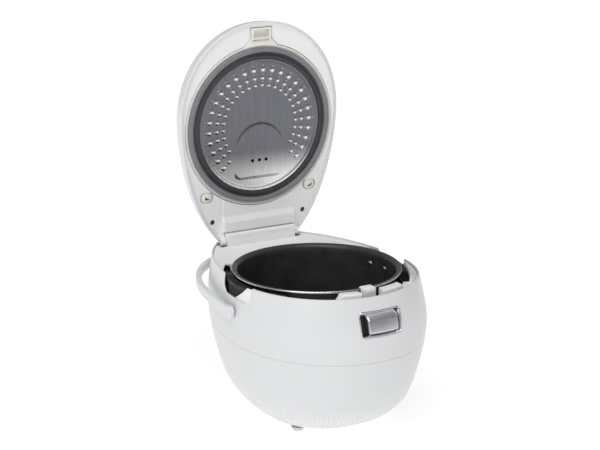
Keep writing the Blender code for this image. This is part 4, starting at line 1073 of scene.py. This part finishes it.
def bail():
    path = bail_path(96)
    rings = []
    for k, (x, y) in enumerate(path):
        before, after = path[max(k - 1, 0)], path[min(k + 1, len(path) - 1)]
        along = Vector((after[0] - before[0], after[1] - before[1], 0.0)).normalized()
        out = Vector((along.y, -along.x, 0.0))
        grow = smooth_step((y - PIVOT_Y) / BAIL_TALL_RUN)
        lift = PIVOT_Z + BAIL_RISE * smooth_step((y - PIVOT_Y + 15.0) / BAIL_RISE_RUN) - 0.6
        tall = (BAIL_ARM_TALL + (BAIL_BAR_TALL - BAIL_ARM_TALL) * grow) / 2
        rings.append([tuple(Vector((x, y, lift + v)) + out * u) for u, v in bail_section(tall)])
    item = piece("bail_band", loft(rings), "white_gloss", "bail", ("bail_handle",), sharp=45)
    half = BAIL_THICK / 2
    for side in (-1, 1):
        reach = BOSS_RADIUS
        face = [(0.4, -half + 0.01), (reach - 1.2, -half + 0.01), (reach, -half + 1.2), (reach, half - 1.8),
                (reach - 0.6, half - 0.6), (reach - 2.0, half - 0.05), (0.4, half - 0.05)]
        rows = [(r, side * (BAIL_HALF + d)) for r, d in face]
        carve(item, [turned_along(rows, 64, "x", (PIVOT_Y, PIVOT_Z))], operation="UNION", sharp=45)
        bore = ((3.9, side * 120.0), (3.9, side * 135.5))
        carve(item, [turned_along(bore, 32, "x", (PIVOT_Y, PIVOT_Z))], sharp=45)
    return item


def mains_inlet():
    outline = [(x, z + 46.0) for x, z in rounded_rect(30.0 - GAP, 22.0 - GAP, 3.0)]
    item = piece("mains_socket", slab(outline, 150.0, 172.5, 0.5, "y"), "black", "housing", ("mains_inlet",))
    recess = [(x, z + 46.0) for x, z in rounded_rect(24.0, 16.5, 2.0)]
    carve(item, [prism(recess, 154.0, 190.0, "y")])
    pins = [moved(pad(2.0, 4.0, 0.5, 153.0, 165.0, 0.6, "y"), (x, 0.0, z))
            for x, z in ((-7.0, 44.0), (7.0, 44.0), (0.0, 50.0))]
    piece("socket_pins", joined(*pins), "steel", "housing")
    return item


# ---- inside of the body ----------------------------------------------------------------

def well_parts():
    """What shows when the pot is lifted out: the metal can, the heater and the plunger."""
    can = [(94.0, 44.0), (104.0, 52.0), (110.0, 66.0), (113.8, 84.0), (113.8, 169.6), (113.2, 169.9),
           (112.8, 169.6), (112.8, 150.0), (112.8, 118.0), (112.8, 84.4), (109.0, 66.6), (103.2, 52.8),
           (94.0, 45.4)]
    piece("can", turned(can, 160, True), "spun", "housing", ("inner_case",), sharp=50)
    plate = [(19.0, 43.0), (88.0, 43.0), (90.0, 45.0), (90.0, 50.0), (89.4, 51.4), (88.0, 52.0)]
    plate += [(r, 52.0 - 0.35 * (k % 2)) for k, r in enumerate(np.linspace(84.0, 24.0, 31))]
    plate += [(20.0, 52.0), (19.0, 51.0)]
    piece("hot_plate", turned(plate, 144, True), "spun", "housing", ("heater_plate",), sharp=20)
    head = [(5.0, 22.0), (5.0, 44.0), (16.6, 44.0), (17.0, 44.4), (17.0, 50.8), (16.2, 52.0), (15.0, 52.0),
            (13.5, 51.6), (0.4, 51.6)]
    piece("plunger_head", turned(head, 96), "spun", "plunger", ("thermostat_plunger",), sharp=30)


def pot_profile():
    outside = [(0.4, POT_BOTTOM)]
    outside += arc((POT_RADIUS - POT_CORNER, POT_BOTTOM + POT_CORNER), POT_CORNER, -90, 0, 12)
    outside += [(POT_RADIUS, z) for z in (100.0, 130.0, 160.0, 185.0)]
    rim = [(POT_RADIUS, 195.2), (POT_RADIUS + 0.6, 196.6), (POT_RADIUS + 2.4, 197.6),
           (RIM_RADIUS - 1.6, 198.2)]
    rim += arc((RIM_RADIUS - 1.7, 199.9), 1.7, -80, 100, 10)
    rim += [(RIM_RADIUS - 3.0, 201.5), (RIM_RADIUS - 4.2, 200.9), (RIM_RADIUS - 5.0, 200.5),
            (POT_INNER + 1.8, 199.6), (POT_INNER + 0.7, 198.6), (POT_INNER, 196.4)]
    inside = [(POT_INNER, z) for z in (190.0, 160.0, 130.0, 100.0)]
    inside += arc((POT_INNER - POT_CORNER, POT_FLOOR + POT_CORNER), POT_CORNER, 0, -90, 12)
    return outside + rim + inside + [(30.0, POT_FLOOR + 0.5), (0.4, POT_FLOOR + 0.8)]


def rivet_shape(radius_head, radius_shank, head, reach, side, angle, steps=32):
    profile = [(radius_head * math.sin(a), -head * math.cos(a))
               for a in (math.radians(8 + 82 * k / 8) for k in range(9))]
    profile += [(radius_shank, 0.0), (radius_shank, reach)]
    verts, faces = turned(profile, steps)
    turn = Matrix.Rotation(math.radians(angle + (180 if side < 0 else 0)), 3, "Z")
    start = POT_INNER - GAP * 0.7
    return [tuple(turn @ Vector((start + z, y, RIVET_Z + x))) for x, y, z in verts], faces


def pot():
    piece("pot_body", turned(pot_profile(), 240), "nonstick", "pot", ("inner_pot",), sharp=40)
    edge = arc((RIM_RADIUS - 1.7, 199.9), 1.72, -62, 52, 8)
    edge += [(r - 0.25, z) for r, z in reversed(arc((RIM_RADIUS - 1.7, 199.9), 1.60, -62, 52, 8))]
    piece("pot_bare_edge", turned(edge, 240, True), "bare_edge", "pot", sharp=60)
    for side in (-1, 1):
        for angle in RIVET_ANGLES:
            name = "rivet_%s_%s" % ("left" if side < 0 else "right", "front" if side * angle < 0 else "rear")
            piece(name + "_piece", rivet_shape(4.4, 2.1, 1.4, 7.0, side, angle), "steel", "pot", (name,))


def grips():
    """Side grips under the pot's rim, each with a ribbed skirt."""
    rail = [(106.2, 189.4), (118.6, 189.4)]
    rail += arc((118.8, 190.2), 0.8, -90, 0, 3)
    rail += arc((118.2, 193.8), 1.4, 0, 100, 5)
    rail += [(116.8, 194.6), (116.2, 194.0), (114.6, 193.8), (113.8, 194.4), (113.0, 195.2), (106.2, 195.2)]
    outer = GRIP_OUTER
    skirt = [(107.0, SKIRT_Z), (outer - 0.8, SKIRT_Z), (outer, SKIRT_Z + 0.6)]
    for k in range(6):
        z = SKIRT_Z + 1.2 + 1.7 * k
        skirt += [(outer, z), (outer - 0.5, z + 0.5), (outer - 0.5, z + 0.9), (outer, z + 1.3)]
    skirt += [(outer, 189.6), (107.0, 189.6)]
    for side, tag in ((-1, "left"), (1, "right")):
        turn = 180.0 if side < 0 else 0.0
        low, high = GRIP_ANGLES
        item = piece("grip_" + tag, sector(rail, turn + low, turn + high, 56), "black", "pot",
                     ("pot_grip_" + tag,), sharp=38)
        low, high = SKIRT_ANGLES
        carve(item, [sector(skirt, turn + low, turn + high, 32)], operation="UNION", sharp=38)


# ---- lid, drawn shut -------------------------------------------------------------------

def lid_ring(scale, inset, z, steps):
    half, front, rear = LID_HALF * scale - inset, LID_FRONT * scale - inset, LID_REAR * scale - inset
    return [(*egg_point(half, front, rear, t), z) for t in turns(steps)]


def lid_rings(inset, drop, low, steps=BODY_STEPS, rolled=1.3):
    rings = [lid_ring(1.0, inset + i, low + d, steps) for d, i in roll(rolled, 4)]
    for k in range(1, 6):
        part = k / 5
        height = low + rolled + (LID_SKIRT_Z - low - rolled) * part
        rings.append(lid_ring(1.0 + (DOME_SCALE - 1.0) * part, inset, height, steps))
    for k in range(1, 25):
        a = math.radians(88.5 * (k / 24) ** 0.9)
        rings.append(lid_ring(DOME_SCALE * math.cos(a) ** DOME_POWER, inset * math.cos(a),
                              LID_SKIRT_Z + (LID_DOME - drop) * math.sin(a), steps))
    return rings


def panel_prism(grow, low):
    outline = rounded_rect(PANEL_WIDE + 2 * grow, PANEL_LONG + 2 * grow, 10.0 + grow)
    return prism([(x, y + PANEL_Y) for x, y in outline], low, 275.0)


def display_prism(grow, low):
    outline = rounded_rect(50.0 + 2 * grow, 26.0 + 2 * grow, 2.0 + grow)
    return prism([(x, y + DISPLAY_Y) for x, y in outline], low, 275.0)


def lid_shell():
    cover = loft(lid_rings(0.0, 0.0, LID_EDGE_Z))
    item = lid_piece("lid_cover", cover, "white_gloss", ("lid_shell",), sharp=45)
    room = raw_object("lid_room", loft(lid_rings(LID_WALL, LID_WALL, LID_EDGE_Z - 3.0)), True)
    clean(room.data, 45)
    for target, extra in ((item, 0.0), (room, LID_WALL)):
        back = block((-200.0, LID_CUT_Y - extra, 150.0), (200.0, 260.0, 300.0))
        half = BLOCK_HALF + GAP + extra
        slot = block((-half, LID_NOTCH_Y - extra, 150.0), (half, 260.0, 300.0))
        lid_carve(target, [back, slot], sharp=45)
    use_up(item, [room], "DIFFERENCE")
    cuts = []
    for side in (-1, 1):
        ends = sorted((side * (EAR_INNER - GAP), side * (EAR_OUTER + 0.5)))
        cuts.append(block((ends[0], 142.6, 190.0), (ends[1], 170.0, 210.4)))
    cuts.append(turned(((VENT_RADIUS + 0.5, 230.0), (VENT_RADIUS + 0.5, 270.0)), 72, centre=VENT_SPOT))
    cuts.append(panel_prism(GAP, 225.0))
    return lid_carve(item, cuts, sharp=45)


def neck_outline(grow):
    wide, narrow = 26.0 + grow, 16.0 + grow
    right = [(wide, -100.0), (wide, -109.8), (narrow, -121.0), (narrow, -135.4 - grow)]
    return right[::-1] + [(-x, y) for x, y in right]


def lid_frame():
    """Underside of the lid, with the raised cover in front of the hinge and its two ears."""
    low, high = FRAME_Z, FRAME_Z + FRAME_THICK
    rows = [(low + d, FRAME_INSET + i) for d, i in roll(0.4)] + [(high, FRAME_INSET)]
    rings = [lid_ring(1.0, i, z, BODY_STEPS) for z, i in rows]
    item = lid_piece("lid_underside", loft(rings), "white_satin", ("lid_frame",))
    back = block((-200.0, LID_CUT_Y - FRAME_INSET, 150.0), (200.0, 260.0, 300.0))
    half = BLOCK_HALF + FRAME_INSET
    slot = block((-half, LID_NOTCH_Y - 2.0, 150.0), (half, 260.0, 300.0))
    lid_carve(item, [back, slot])
    cover = [(100.0, 207.4), (101.0, 205.2), (123.0, 205.2), (124.6, 204.8), (131.0, 200.4), (132.4, 199.8),
             (144.2, 199.8), (145.2, 200.6), (145.2, 207.4)]
    rows = [(-56.0 + d, i) for d, i in roll(1.6)] + [(56.0 - d, i) for d, i in reversed(roll(1.6))]
    rings = []
    for x, inset in rows:
        rings.append([(x, y, z + (inset if z < 205.0 else min(inset, 1.0) * 0.6)) for y, z in cover])
    lid_carve(item, [loft(rings)], "UNION")
    for side in (-1, 1):
        ends = sorted((side * EAR_INNER, side * EAR_OUTER))
        outline = [(138.0, 206.2), (150.0, 203.2)]
        outline += arc((HINGE_Y, HINGE_Z), EAR_RADIUS, 205, 450, 24)
        outline += [(146.0, 208.0), (138.0, 207.6)]
        lid_carve(item, [slab(outline, ends[0], ends[1], 0.6, "x")], "UNION")
        bore = turned_along(((PIN_BORE, ends[0] - 2), (PIN_BORE, ends[1] + 2)), 40, "x", (HINGE_Y, HINGE_Z))
        hole = turned(((3.7, 195.0), (3.7, 215.0)), 32, centre=(side * SCREW_X, SCREW_Y))
        spots = [(x + side * CLIP_X, y + CLIP_Y) for x, y in rounded_rect(20.4, 14.4, 6.8)]
        clip = prism(spots, 195.0, 215.0)
        lid_carve(item, [bore, hole, clip])
    opening = turned(((RING_OUTER + 0.7, 195.0), (RING_OUTER + 0.7, 215.0)), 160)
    lid_carve(item, [opening, prism(neck_outline(0.6), 195.0, 215.0)])
    return even(item)


def lid_ring_piece():
    """Ivory ring round the seal, its tongue and the frame of the catch, with black painted shadow behind the
    gaps round the ring and its neck, and an ivory floor behind the catch.
    """
    low, high = FRAME_Z - 0.6, FRAME_Z + FRAME_THICK
    inner, outer = RING_INNER, RING_OUTER - 0.3
    profile = [(inner - 16.0, high - 1.2), (inner + 1.6, high - 1.2), (inner + 1.9, low + 0.4),
               (inner + 2.3, low), (RING_OUTER - 0.7, low), (outer, low + 0.4), (outer, high + 0.8),
               (inner - 16.0, high + 0.8)]
    item = lid_piece("seal_carrier", turned(profile, 200, True), "ivory", ("inner_lid_ring",))
    tongue = raw_object("tongue", slab(neck_outline(-0.4), FRAME_Z, high + 0.8, 0.5), True)
    clean(tongue.data, 40)
    hub = turned(((RING_OUTER - 1.5, 190.0), (RING_OUTER - 1.5, 230.0)), 200)
    lid_carve(tongue, [hub])
    use_up(item, [tongue], "UNION")
    lid_carve(item, [block((-12.2, -132.6, 195.0), (12.2, -116.5, 230.0))])
    even(item)
    outline = [(x, y - 127.2) for x, y in rounded_rect(29.6, 15.4, 1.8)]
    shape = slab(outline, FRAME_Z - 2.6, FRAME_Z - GAP, 0.6)
    catch = lid_piece("catch_frame", shape, "ivory", ("lid_catch",))
    lid_carve(catch, [block((-12.2, -132.6, 190.0), (12.2, -121.5, 230.0))])
    even(catch)
    # painted shadow: black strips behind the gap round the ring and round its neck, where only shade is
    backing = turned(((109.0, BACKING_Z), (115.2, BACKING_Z), (115.2, 209.5), (109.0, 209.5)), 160, True)
    lid_piece("seam_painted_shadow", backing, "black")
    neck = lid_piece("neck_painted_shadow", prism(neck_outline(1.8), 209.6, 210.2), "black")
    carve(neck, [block((-14.6, -134.8, 200.0), (14.6, -99.0, 220.0)),
                 turned(((115.3, 200.0), (115.3, 220.0)), 160)], True, sharp=40)
    pocket = lid_piece("catch_pocket", block((-14.4, -134.6, BACKING_Z), (14.4, -114.6, 212.4)), "ivory")
    return lid_carve(pocket, [block((-12.2, -132.6, 190.0), (12.2, -116.5, 211.4))])


def arch_distance(x, y):
    """How far a point is inside the embossed arch; negative is outside."""
    centre_y = ARCH_TOP_Y + ARCH_HALF
    if y < centre_y:
        return ARCH_HALF - math.hypot(x, y - centre_y)
    corner = 9.0
    inner = Vector((max(0.0, abs(x) - (ARCH_HALF - corner)), max(0.0, y - (ARCH_LOW_Y - corner))))
    return corner - inner.length


def dimple_at(x, y):
    """1 on top of a dimple, falling to 0 at its edge."""
    radius = math.hypot(x, y)
    angle = math.degrees(math.atan2(y, x))
    for row, size, first, last in DIMPLE_ROWS:
        if abs(radius - row) > size:
            continue
        step = round((angle - DIMPLE_START) / DIMPLE_PITCH)
        for k in (step, step - 34, step + 34):
            a = math.radians(DIMPLE_START + k * DIMPLE_PITCH)
            away = math.hypot(x - row * math.cos(a), y - row * math.sin(a)) / size
            if first <= k <= last and away < 1:
                return (0.5 + 0.5 * math.cos(math.pi * away)) * (0.5 if size < SMALL_DIMPLE else 1.0)
    return 0.0


def plate_height(x, y):
    """How much lower than its flat the plate's show side is at a point, drawn shut."""
    height = 0.9 * smooth_step((math.hypot(x, y) - 86.5) / 3.5)
    height += DIMPLE_HEIGHT * dimple_at(x, y) ** 0.8
    return height + 0.9 * smooth_step(0.5 + arch_distance(x, y) / 3.0)


def inner_plate():
    """Brushed plate with raised dimples, an embossed arch and three steam holes."""
    radii = [0.4, 2.0, 4.0, 7.0, 10.0, 13.0, 16.0, 19.0, 22.0, 25.0, 28.0, 31.0]
    radii += list(np.arange(32.0, 84.5, 0.7)) + list(np.arange(85.0, 91.0, 0.6)) + [91.2, PLATE_RADIUS]
    steps = 640
    rings = []
    for radius in radii:
        ring = []
        for t in turns(steps):
            x, y = radius * math.cos(t), radius * math.sin(t)
            ring.append((x, y, PLATE_Z + 0.4 - plate_height(x, y)))
        rings.append(ring)
    rings.append([(x, y, PLATE_Z + 0.9) for x, y, _ in rings[-1]])
    item = lid_piece("steam_plate", loft(rings), "plate", ("inner_lid_plate",))
    holes = [turned(((2.4, 190.0), (2.4, 220.0)), 32, centre=(x, 49.0)) for x in STEAM_HOLES]
    lid_carve(item, holes)
    # marks the dimples for the painted highlight in the plate's finish
    raised = item.data.attributes.new("raised", "FLOAT", "POINT")
    back = LID_TURN.inverted()
    for vert, mark in zip(item.data.vertices, raised.data):
        spot = (back @ vert.co - at((0.0, 0.0, 0.0))) / MM
        mark.value = dimple_at(spot.x, spot.y)
    return item


def gasket():
    """Moulded seal with a broad outer lip, a groove, and an inner band beside the plate."""
    top = FRAME_Z + 0.4
    profile = [(92.6, top), (92.6, 204.6), (93.2, 204.1), (96.4, 203.9), (97.4, 204.2), (98.0, 205.2),
               (98.8, 205.6), (100.2, 205.6), (101.0, 205.2), (101.6, 204.0), (102.6, 203.1),
               (104.2, SEAL_Z + 0.15), (105.4, SEAL_Z), (106.6, SEAL_Z + 0.1), (107.6, SEAL_Z + 0.5),
               (108.3, 204.0), (108.6, 204.8), (108.6, top)]
    return lid_piece("seal", turned(profile, 200, True), "seal", ("lid_gasket",), sharp=50)


def screws():
    for side, name in ((-1, "lid_screw_left"), (1, "lid_screw_right")):
        profile = [(0.3, 208.0), (2.3, 208.0), (3.0, 208.2), (3.0, 208.8), (1.6, 208.8), (1.6, 222.0)]
        spot = (side * SCREW_X, SCREW_Y)
        item = lid_piece(name + "_piece", turned(profile, 32, centre=spot), "dark_steel", (name,), sharp=32)
        cross = []
        for wide, long in ((0.35, 1.6), (1.6, 0.35)):
            low = (spot[0] - wide, SCREW_Y - long, 200.0)
            cross.append(block(low, (spot[0] + wide, SCREW_Y + long, 208.6)))
        lid_carve(item, cross, sharp=32)
        # painted shade: a dark ring at the bottom of each screw hole, where only shade is
        well = turned(((3.1, BACKING_Z), (5.4, BACKING_Z), (5.4, 209.6), (3.1, 209.6)), 32, True, spot)
        lid_piece("screw_hole_painted_shade_" + ("left" if side < 0 else "right"), well, "dark_steel")


def clips():
    """Sliding clips beside the ring, each with a finger ridge and a slot whose floor is painted shade."""
    for side, tag in ((-1, "left"), (1, "right")):
        x = side * CLIP_X
        shape = pad(15.6, 13.4, 5.8, FRAME_Z - 0.8, FRAME_Z + FRAME_THICK, 0.9, "z", (x, CLIP_Y))
        item = lid_piece("clip_" + tag, shape, "ivory", ("lid_clip_" + tag,), body="clip_" + tag)
        knob = pad(10.6, 8.2, 3.6, FRAME_Z - 2.2, FRAME_Z + 1.0, 0.4, "z", (x, CLIP_Y), 1.1)
        lid_carve(item, [knob], "UNION")
        marks = ((6.4, 2.4, (x, CLIP_Y + 1.4)), (2.4, 4.2, (x + side * 2.4, CLIP_Y - 0.4)))
        slots = [pad(wide, tall, 1.0, FRAME_Z - 6.0, FRAME_Z + 0.4, 0.2, "z", spot)
                 for wide, tall, spot in marks]
        lid_carve(item, slots)
        even(item)
        # painted shade: dark floors in the clips' slots, where only shade is
        slot_shade_floors = [pad(wide - 0.2, tall - 0.2, 0.9, FRAME_Z - 0.2, FRAME_Z + 0.3, 0.1, "z", spot)
                  for wide, tall, spot in marks]
        lid_piece("clip_slot_painted_shade_" + tag, joined(*slot_shade_floors), "dark_steel", body="clip_" + tag)
        seat = pad(23.0, 17.0, 7.6, BACKING_Z, 209.6, 0.2, "z", (x, CLIP_Y))
        lid_piece("clip_seat_" + tag, seat, "white_satin")


def vent():
    housing = [(6.0, 226.0), (VENT_RADIUS, 226.0), (VENT_RADIUS, 246.8), (17.4, 247.4), (15.2, 247.4),
               (14.6, 246.8), (14.6, 229.0), (6.0, 229.0)]
    lid_piece("vent_seat", turned(housing, 96, True, VENT_SPOT), "grey", ("steam_vent",))
    cap = [(0.4, 240.0), (14.0, 240.0), (14.2, 248.2), (17.2, 248.2), (17.6, 248.6), (17.6, 250.6),
           (17.2, 251.5), (16.2, 252.0), (14.0, 252.0), (12.8, 251.4), (0.4, 251.2)]
    cap = turned(cap, 96, centre=VENT_SPOT)
    item = lid_piece("vent_cap_piece", cap, "grey", ("steam_cap",), body="vent_cap")
    slots = []
    for k in range(3):
        outline = rounded_rect(16.0 - 2.0 * abs(k - 1), 1.8, 0.8, 4)
        slots.append(prism([(x, y + 55.4 + 4.6 * k) for x, y in outline], 243.0, 260.0))
    lid_carve(item, slots)
    even(item)


def dome_height(x, y):
    low, high = 0.0, math.pi / 2
    for _ in range(24):
        angle = (low + high) / 2
        scale = DOME_SCALE * math.cos(angle) ** DOME_POWER
        reach = LID_REAR * scale - WIDEST_Y if y > WIDEST_Y else LID_FRONT * scale + WIDEST_Y
        inside = (abs(x) / (LID_HALF * scale)) ** 2 + ((y - WIDEST_Y) / reach) ** 2 < 1
        low, high = (angle, high) if inside else (low, angle)
    return LID_SKIRT_Z + LID_DOME * math.sin(low)


def controls():
    """Panel, display window and keys on the lid's outside."""
    skin = loft(lid_rings(-0.5, -0.5, LID_EDGE_Z, 160))
    item = lid_piece("panel_piece", skin, "panel", ("control_panel",))
    lid_carve(item, [panel_prism(0.0, PANEL_LOW)], "INTERSECT")
    cuts = [display_prism(0.3, 247.0)]
    for _, x, y, radius in KEYS:
        bore = ((radius + 0.4, dome_height(x, y) - 4.0), (radius + 0.4, 275.0))
        cuts.append(turned(bore, 48, centre=(x, y)))
    lid_carve(item, cuts)
    even(item)
    item = lid_piece("display_piece", skin, "glass", ("display_window",))
    lid_carve(item, [display_prism(0.0, 247.4)], "INTERSECT")
    even(item)
    for name, x, y, radius in KEYS:
        top = dome_height(x, y) + KEY_PROUD
        profile = [(0.4, top - 3.6), (radius, top - 3.6), (radius, top - 1.0), (radius - 0.3, top - 0.35),
                   (radius - 1.0, top), (radius - 2.2, top - 0.1), (0.4, top - 0.5)]
        lid_piece(name + "_cap", turned(profile, 64, centre=(x, y)), "white_gloss", (name,), body=name)


# ---- kept CAD pieces -------------------------------------------------------------------

def keep_nodes():
    for name, finish in KEPT.items():
        node = frame["nodes"][name]
        slot, material = FINISHES[finish]
        node.data.materials.clear()
        node.data.materials.append(material)


# ---- studio ----------------------------------------------------------------------------

def camera():
    """The camera stands to the front left, a little above the pot."""
    turn, rise = math.radians(CAMERA_AZIMUTH), math.radians(CAMERA_RISE)
    back = Vector((-math.sin(turn) * math.cos(rise), -math.cos(turn) * math.cos(rise), math.sin(rise)))
    right = Vector((math.cos(turn), -math.sin(turn), 0.0))
    up = back.cross(right)
    spot = Vector((0.0, 0.0, CAMERA_TARGET_Z)) + CAMERA_DISTANCE * back
    spot += CAMERA_SIDE * right + CAMERA_UP * up
    data = bpy.data.cameras.new("camera")
    data.lens = CAMERA_LENS
    data.sensor_width = SENSOR
    data.clip_end = 20.0
    item = bpy.data.objects.new("camera", data)
    bpy.context.scene.collection.objects.link(item)
    turn_matrix = Matrix((right, up, back)).transposed().to_4x4()
    turn_matrix.translation = at(spot)
    item.matrix_world = turn_matrix
    bpy.context.scene.camera = item


def area_light(name, place, target, size, power, color=(1.0, 1.0, 1.0)):
    data = bpy.data.lights.new(name, "AREA")
    data.shape = "RECTANGLE"
    data.size, data.size_y = size
    data.energy = power
    data.color = color
    item = bpy.data.objects.new(name, data)
    item.location = place
    item.rotation_euler = (Vector(target) - Vector(place)).to_track_quat("-Z", "Y").to_euler()
    bpy.context.scene.collection.objects.link(item)


def floor():
    mesh = bpy.data.meshes.new("floor")
    corners = [(x * FLOOR_HALF, y * FLOOR_HALF, 0.0) for x, y in ((-1, -1), (1, -1), (1, 1), (-1, 1))]
    mesh.from_pydata(corners, [], [(0, 1, 2, 3)])
    item = bpy.data.objects.new("floor", mesh)
    bpy.context.scene.collection.objects.link(item)
    mat, tree, shader = shader_of("floor", (0.5, 0.5, 0.5), 0.8)
    shader.inputs["Emission Color"].default_value = (1.0, 1.0, 1.0, 1.0)
    coords = tree.nodes.new("ShaderNodeTexCoord")
    away = tree.nodes.new("ShaderNodeVectorMath")
    away.operation = "LENGTH"
    tree.links.new(coords.outputs["Object"], away.inputs[0])
    glow = mapped(tree, away.outputs["Value"], (*FLOOR_SPAN, FLOOR_NEAR, FLOOR_FAR), True)
    tree.links.new(glow, shader.inputs["Emission Strength"])
    mesh.materials.append(mat)


def studio():
    world = bpy.data.worlds.new("studio")
    bpy.context.scene.world = world
    world.use_nodes = True
    sky = world.node_tree.nodes["Background"]
    sky.inputs["Color"].default_value = (1.0, 1.0, 1.0, 1.0)
    sky.inputs["Strength"].default_value = SKY
    target = (0.0, 0.0, 0.2)
    area_light("key", (-2.1, -1.3, 1.4), target, (1.4, 1.4), 10.5)
    area_light("top", (-0.7, -0.8, 2.6), target, (1.8, 1.6), 30.0)
    floor()
    scene = bpy.context.scene
    scene.view_settings.view_transform = "Standard"
    scene.view_settings.look = "None"


def main():
    camera()
    studio()
    base_band()
    lower_shell()
    upper_shell()
    deck()
    guards()
    feet()
    hinge_block()
    button_parts()
    latch()
    bail()
    mains_inlet()
    well_parts()
    pot()
    grips()
    lid_shell()
    lid_frame()
    lid_ring_piece()
    inner_plate()
    gasket()
    screws()
    clips()
    vent()
    controls()
    keep_nodes()


main()
